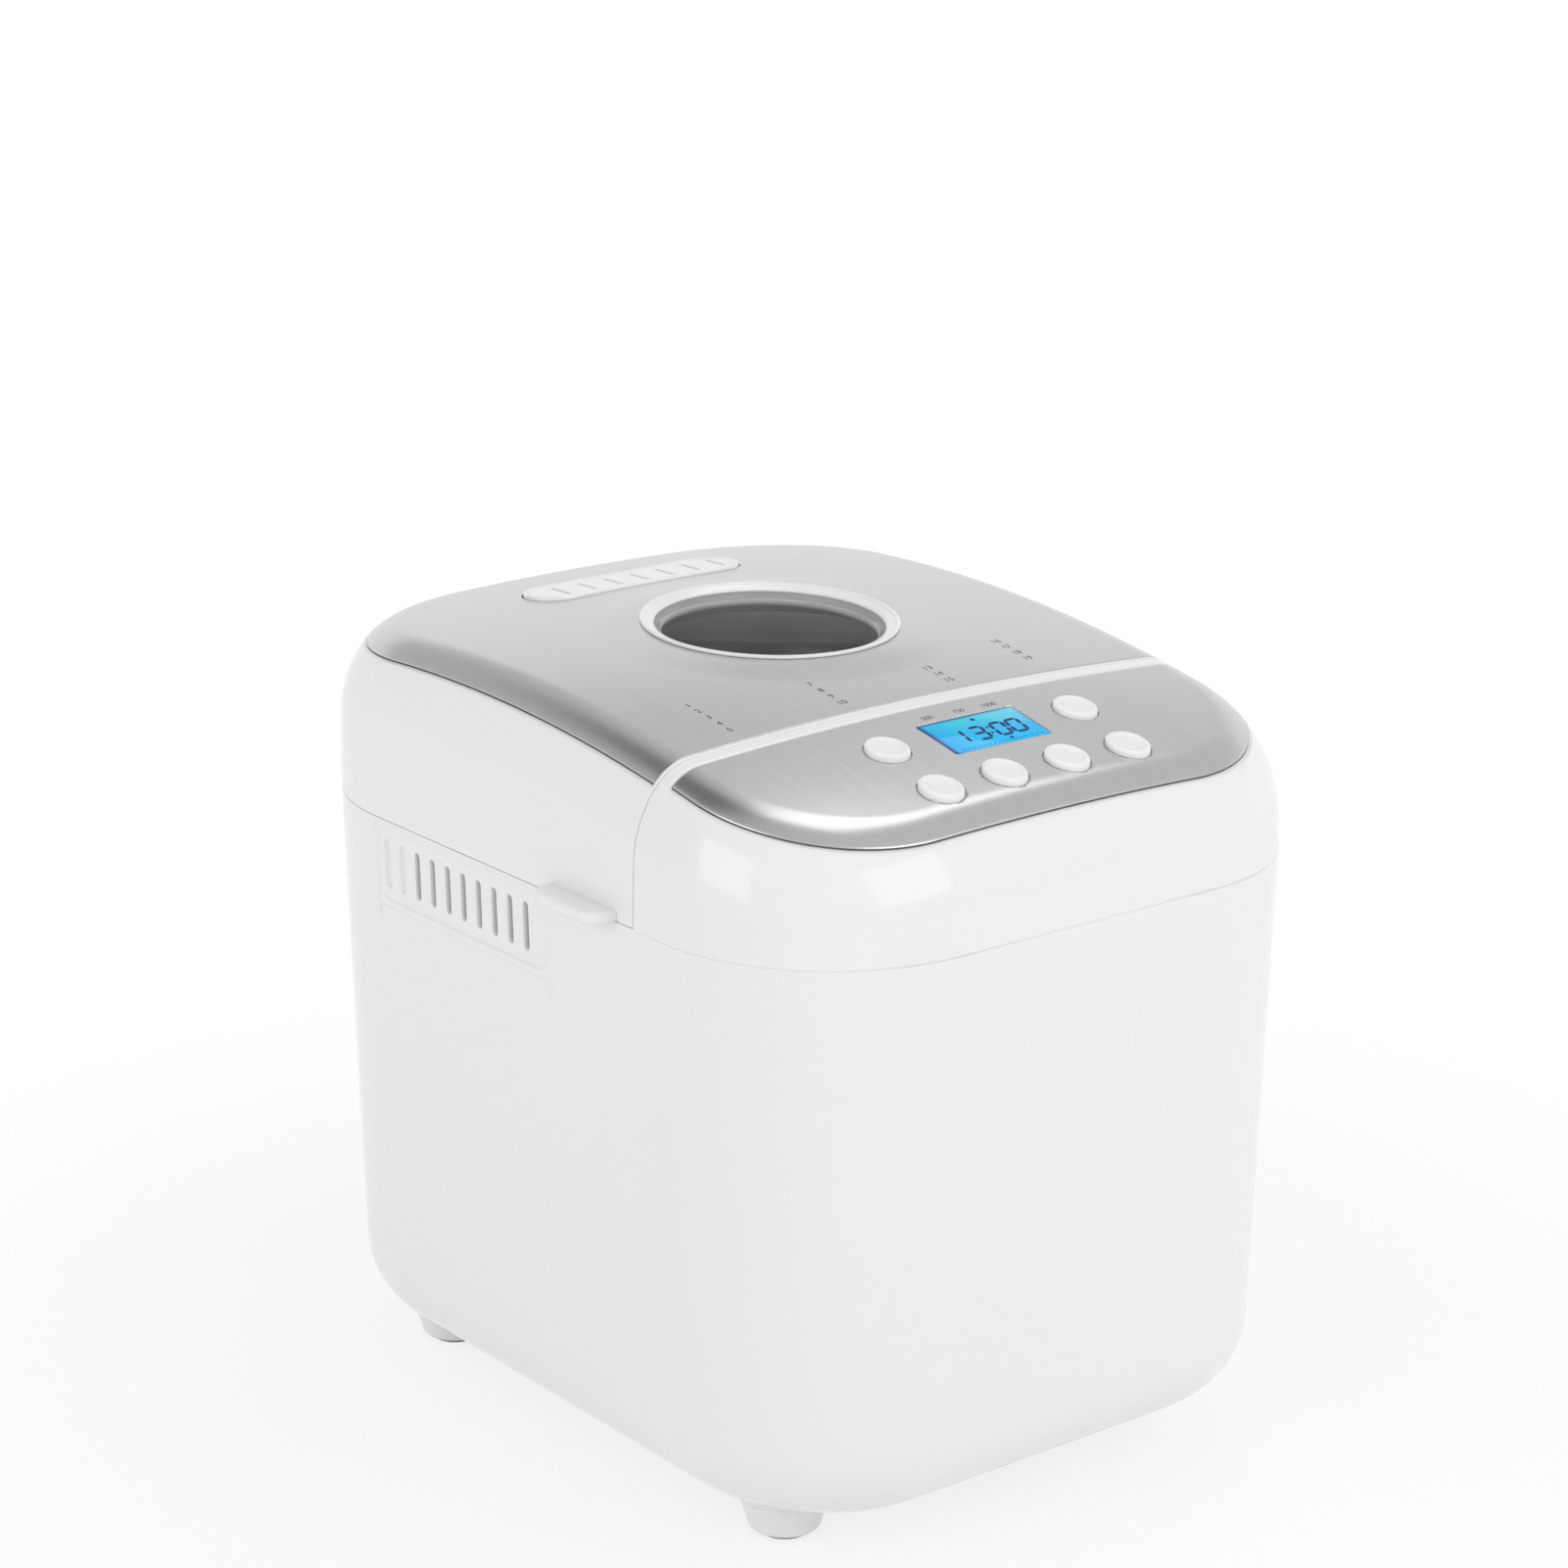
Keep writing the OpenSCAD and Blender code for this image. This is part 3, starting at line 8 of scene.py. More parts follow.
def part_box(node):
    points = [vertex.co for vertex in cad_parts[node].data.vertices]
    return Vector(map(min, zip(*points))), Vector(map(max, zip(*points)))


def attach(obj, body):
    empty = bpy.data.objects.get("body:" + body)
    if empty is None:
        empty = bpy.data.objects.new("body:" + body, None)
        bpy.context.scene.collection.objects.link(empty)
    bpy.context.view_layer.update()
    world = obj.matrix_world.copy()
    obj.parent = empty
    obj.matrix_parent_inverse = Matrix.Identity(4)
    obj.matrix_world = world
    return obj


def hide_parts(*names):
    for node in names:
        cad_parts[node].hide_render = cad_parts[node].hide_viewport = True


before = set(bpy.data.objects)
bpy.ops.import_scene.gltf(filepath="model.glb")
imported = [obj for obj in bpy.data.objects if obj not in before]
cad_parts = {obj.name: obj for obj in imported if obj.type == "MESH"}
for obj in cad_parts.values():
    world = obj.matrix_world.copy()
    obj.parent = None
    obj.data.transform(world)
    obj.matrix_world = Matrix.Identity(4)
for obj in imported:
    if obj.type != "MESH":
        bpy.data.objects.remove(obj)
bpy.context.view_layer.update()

mm = 0.001


# ---- Camera ----
# A long lens a metre and a half away, a little above the machine's lid and off its left front corner.
# The turn about the view axis is a quarter of a degree.
azimuth = math.radians(-38.17)
elevation = math.radians(17.08)
roll = math.radians(0.226)
target = Vector((-5.2, 0, 229.96)) * mm
distance = 1490.8 * mm
lens_length = 96.19
back = Vector((math.sin(azimuth) * math.cos(elevation), -math.cos(azimuth) * math.cos(elevation),
    math.sin(elevation)))
camera = bpy.data.objects.new("camera", bpy.data.cameras.new("camera"))
bpy.context.scene.collection.objects.link(camera)
bpy.context.scene.camera = camera
camera.data.lens = lens_length
camera.data.sensor_width = 36
camera.data.clip_end = 50
camera.rotation_mode = "QUATERNION"
camera.location = target + back * distance
camera.rotation_quaternion = (-back).to_track_quat("-Z", "Y") @ Quaternion((0, 0, 1), roll)
bpy.context.scene.view_settings.view_transform = "Standard"


# ---- Studio ----
# One white paper sweep for the floor and the backdrop, a pale sky with a dim patch high behind the machine,
# and three soft boxes: in front, on the left and overhead. Seen by the camera or in gloss, the paper away
# from the machine is plain white.
class Signal:
    """A number that varies over a surface. Arithmetic on it adds Math nodes to its material."""

    def __init__(self, finish, socket):
        self.finish, self.socket = finish, socket

    def maths(self, operation, a, b):
        node = self.finish.node("ShaderNodeMath", {"operation": operation}, {0: a, 1: b})
        return Signal(self.finish, node.outputs[0])

    def __add__(self, other):
        return self.maths("ADD", self, other)

    def __sub__(self, other):
        return self.maths("SUBTRACT", self, other)

    def __rsub__(self, other):
        return self.maths("SUBTRACT", other, self)

    def __mul__(self, other):
        return self.maths("MULTIPLY", self, other)

    def __truediv__(self, other):
        return self.maths("DIVIDE", self, other)

    __radd__ = __add__
    __rmul__ = __mul__


class Finish:
    """A node material, or the world. node() adds one node; varied() wraps one of its outputs."""

    def __init__(self, name, owner=None, **constants):
        self.owner = owner or bpy.data.materials.new(name)
        self.owner.use_nodes = True
        self.tree = self.owner.node_tree
        self.shader = self.tree.nodes.get("Principled BSDF")
        self.give(**constants)

    def give(self, **inputs):
        """Feeds the shader's sockets by name, with an underscore for a space."""
        for name, value in inputs.items():
            self.feed(self.shader.inputs[name.replace("_", " ")], value)

    def feed(self, socket, value):
        """Links a signal or another node's socket to a socket, or sets its value."""
        if isinstance(value, Signal):
            self.tree.links.new(value.socket, socket)
        elif isinstance(value, bpy.types.NodeSocket):
            self.tree.links.new(value, socket)
        elif isinstance(value, (tuple, list)) and len(value) == 3 and socket.type == "RGBA":
            socket.default_value = (*value, 1)
        else:
            socket.default_value = value

    def node(self, kind, settings=None, values=None):
        """A node with its settings made first, then the values or links of its sockets."""
        node = self.tree.nodes.new(kind)
        for key, value in (settings or {}).items():
            if key == "stops":
                ramp = node.color_ramp
                for i, (place, colour) in enumerate(value):
                    stop = ramp.elements[i] if i < 2 else ramp.elements.new(place)
                    stop.position = place
                    stop.color = (*colour, 1)
            else:
                setattr(node, key, value)
        for key, value in (values or {}).items():
            self.feed(node.inputs[key], value)
        return node

    def varied(self, node, output=0):
        return Signal(self, node.outputs[output])

    def place(self, stretch=(1, 1, 1)):
        """The point on the piece in metres, each axis multiplied by its stretch."""
        point = self.node("ShaderNodeTexCoord").outputs["Object"]
        return self.node("ShaderNodeMapping", None, {"Vector": point, "Scale": stretch}).outputs[0]

    def along(self, axis):
        """One coordinate of the point on the piece."""
        return self.varied(self.node("ShaderNodeSeparateXYZ", None, {0: self.place()}), axis)

    def noise(self, scale, stretch=(1, 1, 1), detail=2.0):
        settings = {"Vector": self.place(stretch), "Scale": scale, "Detail": detail}
        return self.varied(self.node("ShaderNodeTexNoise", None, settings))

    def spread(self, value, low, high, shape="LINEAR", start=0.0):
        """Goes from start to 1 while the value goes from low to high."""
        values = {"Value": value, "From Min": low, "From Max": high, "To Min": start}
        return self.varied(self.node("ShaderNodeMapRange", {"interpolation_type": shape}, values))

    def ramp(self, mask, stops):
        """Colour along a row of stops as the mask goes from 0 to 1."""
        return self.node("ShaderNodeValToRGB", {"stops": stops}, {0: mask}).outputs[0]

    def bump(self, height, distance, strength=1.0):
        values = {"Height": height, "Distance": distance, "Strength": strength}
        bump = self.node("ShaderNodeBump", None, values)
        self.give(Normal=bump.outputs[0])

    def shift(self, mask, first, second):
        """Colour that goes from first to second as the mask goes from 0 to 1."""
        return self.node("ShaderNodeMix", {"data_type": "RGBA"}, {0: mask, 6: first, 7: second}).outputs[2]


def add_mesh(name, points, faces, smooth=True):
    """A mesh object from an array of points and a list or array of faces."""
    mesh = bpy.data.meshes.new(name)
    mesh.from_pydata(points.tolist(), [], faces.tolist() if hasattr(faces, "tolist") else faces)
    mesh.validate()
    mesh.polygons.foreach_set("use_smooth", np.full(len(mesh.polygons), smooth))
    mesh.update()
    piece = bpy.data.objects.new(name, mesh)
    bpy.context.scene.collection.objects.link(piece)
    return piece


def grid_faces(rows, columns, wrap=False):
    """Quads between the points of a grid that is stored row by row. They face outwards where the rows run
    upwards and the columns clockwise, seen from above."""
    across = columns if wrap else columns - 1
    row, column = np.meshgrid(np.arange(rows - 1), np.arange(across), indexing="ij")
    after = (column + 1) % columns
    corners = [row * columns + column, (row + 1) * columns + column, (row + 1) * columns + after,
        row * columns + after]
    return np.stack(corners, -1).reshape(-1, 4)


sweep_r = 1.2
sweep_back = 3.0
sweep_front = 12.0
sweep_half = 12.0
sweep_top = 2.4
bend = np.radians(np.linspace(0, 90, 24))
run = np.concatenate([[-sweep_front], sweep_back + sweep_r * np.sin(bend), [sweep_back + sweep_r]])
rise = np.concatenate([[0.0], sweep_r * (1 - np.cos(bend)), [sweep_top]])
# The sweep turns with the camera, so that it stands square behind the machine.
ahead = np.array([-math.sin(azimuth), math.cos(azimuth)])
aside = np.array([ahead[1], -ahead[0]])
edge = np.array([-sweep_half, sweep_half])[None, :, None] * aside
flat = run[:, None, None] * ahead + edge
sweep_points = np.concatenate([flat, np.repeat(rise[:, None, None], 2, 1)], 2).reshape(-1, 3)
sweep = add_mesh("paper_sweep", sweep_points, grid_faces(len(run), 2))
paper = Finish("paper", Base_Color=(0.92, 0.92, 0.92), Roughness=0.9)
glow = paper.node("ShaderNodeEmission", None, {"Color": (1, 1, 1), "Strength": 1.0})
light_path = paper.node("ShaderNodeLightPath")
seen = (paper.varied(light_path, "Is Camera Ray") + paper.varied(light_path, "Is Glossy Ray")
    + paper.varied(light_path, "Is Transmission Ray"))
from_middle = paper.node("ShaderNodeVectorMath", {"operation": "LENGTH"}, {0: paper.place()})
# Near the machine a part of the paper stays lit by the lamps, and so keeps the machine's shadow.
near_glow = 0.78
away = paper.spread(paper.varied(from_middle, "Value"), 0.2, 0.5, "SMOOTHSTEP", near_glow)
paper_mix = paper.node("ShaderNodeMixShader", None, {0: seen * away, 1: paper.shader.outputs[0],
    2: glow.outputs[0]})
paper.feed(paper.tree.nodes["Material Output"].inputs[0], paper_mix.outputs[0])
sweep.data.materials.append(paper.owner)

sky = bpy.data.worlds.new("sky")
bpy.context.scene.world = sky
sky_finish = Finish("sky", sky)
way = sky_finish.node("ShaderNodeTexCoord").outputs["Generated"]
# The middle of the dim patch. Each stop has the cosine of the angle to it.
dim_way = (-0.12, 0.495, 0.861)
nearness = sky_finish.node("ShaderNodeVectorMath", {"operation": "DOT_PRODUCT"}, {0: way, 1: dim_way})
sky_tones = [(0.0, (0.76, 0.765, 0.775)), (0.55, (0.74, 0.745, 0.75)), (0.8, (0.68, 0.685, 0.69)),
    (0.93, (0.6, 0.6, 0.61)), (0.965, (0.48, 0.48, 0.49)), (0.985, (0.22, 0.22, 0.225)),
    (1.0, (0.16, 0.16, 0.165))]
sky_light = sky.node_tree.nodes["Background"]
sky_finish.feed(sky_light.inputs["Color"], sky_finish.ramp(sky_finish.varied(nearness, "Value"), sky_tones))
lamp_aim = Vector((0, 0, 0.16))


def soft_box(name, place, width, height, power):
    """A rectangular area lamp at place, turned to face the machine's middle."""
    lamp = bpy.data.objects.new(name, bpy.data.lights.new(name, "AREA"))
    lamp.data.shape = "RECTANGLE"
    lamp.data.size, lamp.data.size_y, lamp.data.energy = width, height, power
    lamp.location = place
    lamp.rotation_mode = "QUATERNION"
    lamp.rotation_quaternion = (lamp_aim - Vector(place)).to_track_quat("-Z", "Y")
    bpy.context.scene.collection.objects.link(lamp)


soft_box("front_box", (0.42, -1.95, 1.32), 1.7, 1.2, 11.5)
soft_box("left_box", (-2.05, 0.07, 0.95), 1.2, 1.3, 7.3)
soft_box("top_box", (0.74, 0.42, 2.14), 0.75, 1.5, 4.4)


# ---- Lower housing ----
# White moulded tub with drafted walls, a rounded base edge carried round the plan, four bosses for the feet
# and a tongue at the back that closes the lid's hinge notch. The side walls carry sunk vent panels.
half_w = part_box("front_cover")[1].x
half_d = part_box("lower_housing")[1].y
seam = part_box("front_cover")[0].z
front_corner_r = 68 * mm
rear_corner_r = 76 * mm
spine_reach = 60 * mm
lean = math.radians(1.65)
underside = 16 * mm
base_edge_r = 30 * mm
wall_t = 2.5 * mm
flange_in = 44 * mm
rim_r = 0.2 * mm
tongue_half = 85.9 * mm
seam_close = 0.35 * mm
lid_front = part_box("lid_shell")[0].y - seam_close
rim_lift = 0.35 * mm
foot_in = 45 * mm
front_foot_in = 61 * mm
rear_foot_in = 53 * mm
patch_y = np.array([-24, 81.8]) * mm
patch_z = np.array([188, 219]) * mm
patch_band = 4 * mm
slot_z = 204 * mm
slot_pitch = 9.5 * mm
slot_half = 7.25 * mm
slot_r = 1.5 * mm
open_slots = 57 * mm - slot_pitch * np.arange(8)
blind_slots = 57 * mm + slot_pitch * np.arange(1, 3)
panel_low = np.array([-21.5, 190.75]) * mm
panel_high = np.array([81, 217.25]) * mm
panel_r = 6 * mm
panel_depth = 0.6 * mm
blind_depth = 1.2 * mm
slot_wall = 2 * mm
slot_edge = 0.5 * mm
slot_turn = 0.3 * mm


def end_path(side_y, turn, corner_r, corner_angles, end_steps, tuck=0.0):
    """Columns round one end of the plan, from the left side over the end to the right side: the arc
    centre, the outward direction, the radius, the point of the middle line where the rings close, and how
    far the skin is tucked in. turn is 1 for the back end and -1 for the front end."""
    side_y = np.asarray(side_y, float)
    angle = np.radians(corner_angles)
    steps = len(angle)
    cy = turn * (half_d - corner_r)
    last = turn * (half_d - spine_reach)
    along = np.arange(1, end_steps + 1) / end_steps
    corner_share = 0.66
    share = np.concatenate([angle / (math.pi / 2) * corner_share, corner_share + (1 - corner_share) * along])
    inner_x = -(half_w - corner_r)
    cx = np.concatenate([np.full(len(side_y) + steps, inner_x), inner_x * (1 - along)])
    centre_y = np.concatenate([side_y, np.full(steps + end_steps, cy)])
    nx = np.concatenate([np.full(len(side_y), -1.0), -np.cos(angle), np.zeros(end_steps)])
    ny = np.concatenate([np.zeros(len(side_y)), turn * np.sin(angle), np.full(end_steps, float(turn))])
    spine = np.concatenate([side_y, cy + (last - cy) * share])
    tucked = np.zeros(len(cx))
    tucked[:len(side_y)] = tuck
    left = np.stack([cx, centre_y, nx, ny, np.full(len(cx), corner_r), spine, tucked])
    right = left[:, -2::-1] * np.array([-1, 1, -1, 1, 1, 1, 1])[:, None]
    return np.concatenate([left, right], 1)


def carried(path, inset, height):
    """Grid of a section's rows of inset and height, carried along a path's columns."""
    cx, cy, nx, ny, r = path[:5]
    x = cx + (r - inset) * nx
    return np.stack([x, cy + (r - inset) * ny, height + 0 * x], -1)


def surface(grid):
    """Points and faces of a grid of points."""
    return grid.reshape(-1, 3), grid_faces(*grid.shape[:2])


def rim_rows(wall, radius):
    """Inset and height of a rim's rounded top, from its outer edge over to its inner edge."""
    turn = np.radians(np.linspace(0, 90, 6))
    inset = np.concatenate([radius * (1 - np.cos(turn)), wall - radius * (1 - np.sin(turn))])
    return inset, np.concatenate([radius * (np.sin(turn) - 1), radius * (np.cos(turn) - 1)])


def rounded_box(u, v, low, high, r):
    """Signed distance in a plane to a rectangle with rounded corners, below zero inside."""
    du = np.abs(u - (low[0] + high[0]) / 2) - (high[0] - low[0]) / 2 + r
    dv = np.abs(v - (low[1] + high[1]) / 2) - (high[1] - low[1]) / 2 + r
    return np.hypot(np.maximum(du, 0), np.maximum(dv, 0)) + np.minimum(np.maximum(du, dv), 0) - r


def long_slot(u, v, centre, way, half, r):
    """Signed distance in a plane to a slot with round ends, below zero inside."""
    du, dv = u - centre[0], v - centre[1]
    run = np.clip(du * way[0] + dv * way[1], -half, half)
    return np.hypot(du - run * way[0], dv - run * way[1]) - r


def smooth_step(value):
    """0 below 0, 1 above 1, and three squares less two cubes between."""
    t = np.clip(value, 0, 1)
    return t * t * (3 - 2 * t)


def trimmed(points, faces, distance):
    """Cuts a sheet along the line where distance is zero and keeps the side below zero. Points just beyond
    the line slide onto it in the sheet's plane, down the distance's own slope. A face that the slide folds
    over or closes up is left out, and unused points drop out."""
    points = points.copy()
    apart = distance(points[:, 0], points[:, 1])
    kept = faces[(apart[faces] < 0).any(1)]
    used = np.unique(kept)
    step = 1e-5
    for _ in range(3):
        u, v = points[used, 0], points[used, 1]
        slope_u = (distance(u + step, v) - distance(u - step, v)) / (2 * step)
        slope_v = (distance(u, v + step) - distance(u, v - step)) / (2 * step)
        pull = np.maximum(distance(u, v), 0) / np.maximum(slope_u ** 2 + slope_v ** 2, 0.25)
        points[used, 0] -= pull * slope_u
        points[used, 1] -= pull * slope_v
    corner, after = points[kept, :2], points[np.roll(kept, -1, 1), :2]
    area = (corner[..., 0] * after[..., 1] - after[..., 0] * corner[..., 1]).sum(1)
    slid = (apart[kept] > 0).any(1)
    least = 0.04 * mm ** 2
    kept = kept[~slid | (area * np.sign(np.median(area[slid])) > least)]
    used = np.unique(kept)
    lookup = np.zeros(len(points), int)
    lookup[used] = np.arange(len(used))
    return points[used], lookup[kept]


def plane_sheet(across, up, distance):
    """A flat sheet over two rows of coordinates, trimmed to where distance is below zero."""
    u, v = np.meshgrid(across, up)
    return trimmed(np.stack([u.ravel(), v.ravel()], -1), grid_faces(len(up), len(across)), distance)


def walled(front, deep, faces):
    """Adds walls from the open edges of a sheet to the points behind them."""
    pairs = np.concatenate([faces[:, [0, 1]], faces[:, [1, 2]], faces[:, [2, 3]], faces[:, [3, 0]]])
    pairs = pairs[pairs[:, 0] != pairs[:, 1]]
    _, first, count = np.unique(np.sort(pairs, 1), axis=0, return_index=True, return_counts=True)
    rim = pairs[first[count == 1]]
    walls = np.stack([rim[:, 1], rim[:, 0], rim[:, 0] + len(front), rim[:, 1] + len(front)], 1)
    return np.concatenate([front, deep]), np.concatenate([faces, walls])


def joined(*pieces):
    """Points and faces of several meshes as one."""
    starts = np.cumsum([0] + [len(points) for points, part in pieces]).tolist()
    faces = [[corner + start for corner in face] for start, (points, part) in zip(starts, pieces)
        for face in (part.tolist() if isinstance(part, np.ndarray) else part)]
    return np.concatenate([points for points, part in pieces]), faces


def vent_panel(side):
    """Wall patch with the sunk panel. Depth eases in over the panel's edge, drops again at the blind slots
    and turns in at the edges of the open slots, which are cut through."""
    def cut(u, v):
        return -np.min([long_slot(u, v, (y, slot_z), (0, 1), slot_half, slot_r) for y in open_slots], 0)

    flat, faces = plane_sheet(np.linspace(*patch_y, 265), np.linspace(*patch_z, 79), cut)
    u, v = flat.T
    depth = panel_depth * smooth_step(0.5 - rounded_box(u, v, panel_low, panel_high, panel_r) / (0.9 * mm))
    for y in blind_slots:
        sunk = long_slot(u, v, (y, slot_z), (0, 1), slot_half, slot_r)
        depth = depth + blind_depth * smooth_step(0.5 - sunk / slot_edge)
    depth = depth + slot_turn * np.clip(1 + cut(u, v) / slot_edge, 0, 1) ** 2
    front = np.stack([side * (half_w - (seam - v) * math.tan(lean) - depth), u, v], -1)
    deep = front - np.array([side * slot_wall, 0, 0])
    points, faces = walled(front, deep, faces)
    return points, faces[:, ::-1] if side > 0 else faces


def slab(low, high, r, rows, steps=10):
    """Points and faces of a plate with rounded corners: rows of inset and height from its underside over
    its edge to its top, each row the outline drawn in by its inset."""
    turn = np.radians(90 - (np.arange(4)[:, None] * 90 + np.linspace(0, 90, steps)))
    corner = np.array([[high[0] - r, high[1] - r], [high[0] - r, low[1] + r], [low[0] + r, low[1] + r],
        [low[0] + r, high[1] - r]])
    inset, height = np.array(rows, float).T
    reach = (r - inset)[:, None, None]
    x = corner[:, :1] + reach * np.cos(turn)
    y = corner[:, 1:] + reach * np.sin(turn)
    points = np.stack([x, y, height[:, None, None] + 0 * x], -1).reshape(-1, 3)
    count = 4 * steps
    faces = grid_faces(len(rows), count, True).tolist()
    return points, faces + [list(range(count)), list(range(len(points) - count, len(points)))[::-1]]


def turned(rows, steps=96):
    """Points and faces of a turned shape: rows of radius and height carried round the Z axis, upwards on
    the outside. A row of radius zero closes a pole."""
    radius, height = np.array(rows, float).T
    turn = -np.linspace(0, 2 * math.pi, steps, endpoint=False)
    x = radius[:, None] * np.cos(turn)
    points = np.stack([x, radius[:, None] * np.sin(turn), height[:, None] + 0 * x], -1).reshape(-1, 3)
    return points, grid_faces(len(rows), steps, True)


def moved(part, *places):
    """Copies of one part at several places."""
    return joined(*[(part[0] + np.array(place), part[1]) for place in places])


def fitted(name, part, body, finish, *nodes, smooth=True):
    """Makes a piece of a part's points and faces, welds its doubles, gives it its material and its body, and
    hides the pieces of the CAD that it stands for."""
    piece = add_mesh(name, *part, smooth)
    soft = bmesh.new()
    soft.from_mesh(piece.data)
    bmesh.ops.remove_doubles(soft, verts=soft.verts, dist=0.001 * mm)
    soft.to_mesh(piece.data)
    soft.free()
    piece.data.materials.append(finish)
    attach(piece, body)
    if nodes:
        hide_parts(*nodes)
    return piece


def white_plastic(name, tone, gloss):
    """Moulded plastic with a faint unevenness of tone and of gloss, and a very slight orange peel."""
    finish = Finish(name)
    cloud = finish.noise(9, detail=3)
    dim = tone * 0.985
    finish.give(Base_Color=finish.shift(cloud, (dim, dim, dim), (tone, tone, tone * 1.004)),
        Roughness=gloss + 0.07 * finish.noise(26))
    finish.bump(finish.noise(420), 0.02 * mm, 0.3)
    return finish.owner


body_white = white_plastic("body_white", 0.87, 0.09)

# The wall's section runs up its outside, over the rim and down its inside.
edge_in = (seam - underside - base_edge_r + base_edge_r * math.sin(lean)) * math.tan(lean) \
    + base_edge_r * math.cos(lean)
bend = np.radians(np.linspace(90, math.degrees(lean), 22))
straight = np.array([55, 80, 110, 140, 165, 188, 196, 204, 212, 219]) * mm
drafted = (seam - straight) * math.tan(lean)
rim_inset, rim_height = rim_rows(wall_t, rim_r)
section_inset = np.concatenate([[flange_in], edge_in - base_edge_r * np.cos(bend), drafted, rim_inset,
    drafted[::-1] + wall_t, edge_in - (base_edge_r - wall_t) * np.cos(bend[::-1]), [flange_in, flange_in]])
section_z = np.concatenate([[underside], underside + base_edge_r * (1 - np.sin(bend)), straight,
    rim_height + seam, straight[::-1], underside + wall_t + (base_edge_r - wall_t) * (1 - np.sin(bend[::-1])),
    [underside + wall_t, underside]])
corner = np.linspace(0, 90, 37)
side_columns = np.concatenate([np.linspace(front_corner_r - half_d, patch_y[0], 12),
    np.linspace(*patch_y, 20)[1:], [half_d - rear_corner_r]])
rear_loop = end_path(side_columns, 1, rear_corner_r, corner[1:], 12)
front_loop = end_path([], -1, front_corner_r, corner, 12)[:, ::-1]
loop = np.concatenate([rear_loop, front_loop[:, 1:]], 1)
# The rim stands a little higher under the lid than under the front cover.
on_rim = np.abs(section_z - seam) < rim_r * 1.01
raised = rim_lift * on_rim[:, None] * (loop[1] + loop[3] * loop[4] > lid_front)
tub = carried(loop, section_inset[:, None], section_z[:, None] + raised)
tub_points, tub_faces = surface(tub)
# The vent panels take the place of the outer wall's faces there.
x, y, z = tub_points[tub_faces].mean(1).T
in_patch = ((y > patch_y[0]) & (y < patch_y[1]) & (z > patch_z[0]) & (z < patch_z[1])
    & (np.abs(x) > half_w - patch_band))

tongue_inset = np.array([0, 0, 0.15, 0.5, 1.7, 2.05, 2.2, 2.2]) * mm
tongue_z = np.array([219.2, 235.5, 235.85, 236, 236, 235.85, 235.5, 219.2]) * mm
reach = math.degrees(math.acos((tongue_half - half_w + rear_corner_r) / rear_corner_r))
tongue = carried(end_path([], 1, rear_corner_r, np.linspace(reach, 90, 18), 12), tongue_inset[:, None],
    tongue_z[:, None])
tongue_points, tongue_faces = surface(tongue)
count, columns = len(tongue_points), tongue.shape[1]
tongue_ends = [list(range(0, count, columns))[::-1], list(range(columns - 1, count, columns))]
foot_places = [(x, y, 0) for x in (foot_in - half_w, half_w - foot_in)
    for y in (front_foot_in - half_d, half_d - rear_foot_in)]
boss = turned(np.array([(0, 14), (15.9, 14), (16.35, 14.15), (16.5, 14.6), (16.5, 18.4), (0, 18.4)]) * mm, 64)
housing = joined((tub_points, tub_faces[~in_patch]), vent_panel(-1), vent_panel(1),
    (tongue_points, tongue_faces.tolist() + tongue_ends), moved(boss, *foot_places))
fitted("housing_moulding", housing, "base", body_white, "lower_housing")


# ---- Feet and foot pads ----
# Four white moulded feet with rounded ends, each held by a screw from below. A ribbed rubber pad is
# pressed into the end of each.
foot_bottom = 1.5 * mm
foot_round = 3 * mm
waist = 13 * mm
turn = np.radians(np.linspace(0, 90, 9))
foot_end = np.column_stack([waist - foot_round * (1 - np.sin(turn)),
    foot_bottom + foot_round * (1 - np.cos(turn))])
foot_rows = np.concatenate([np.array([(9, 3), (9, 1.7), (9.2, 1.5)]) * mm, foot_end,
    np.array([(13.6, 6.3), (15.9, 13.6), (16, 14), (0, 14)]) * mm])
pad_rows = np.array([(0, 0.25), (4, 0.25), (4.3, 0), (5.2, 0), (5.5, 0.25), (6.5, 0.25), (6.8, 0),
    (8.5, 0), (8.85, 0.15), (8.95, 0.5), (8.95, 3), (0, 3)]) * mm
fitted("feet_mouldings", moved(turned(foot_rows, 64), *foot_places), "base", body_white, "feet")
rubber = Finish("pad_rubber")
dust = rubber.noise(160, detail=4)
rubber.give(Base_Color=rubber.shift(dust, (0.05, 0.05, 0.052), (0.09, 0.09, 0.09)),
    Roughness=0.7 + 0.2 * dust)
rubber.bump(dust, 0.05 * mm)
fitted("foot_pad_rubbers", moved(turned(pad_rows, 64), *foot_places), "base", rubber.owner, "foot_pads")


# ---- Front cover ----
# White moulding in front of the lid, on the same dome: an arch, a rounded shoulder and a leaning wall. A
# bed takes the control plate, with a narrow channel round it, and the strip behind it stays at full height.
crown = 287 * mm
arch_r = 706 * mm
cross_arch_r = 1520 * mm
arch_y = 42 * mm
shoulder_in = 23 * mm
shoulder_drop = 31 * mm
upper_lean = math.tan(math.radians(0.9)) * (crown - shoulder_drop - seam)
control_plate_in = 12 * mm
cover_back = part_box("front_cover")[1].y + 0.5 * mm
rim_lap = 6 * mm
strip_end = -77.8 * mm
channel_w = 1.3 * mm
channel_depth = 0.45 * mm
bed_depth = 1.0 * mm
groove_w = 0.45 * mm
groove_depth = 0.75 * mm
groove_steps = np.array([0.1, 0.45, 0.45, 0.75, 1.0]) * mm
lip_r = 0.3 * mm
shell_t = 2.8 * mm


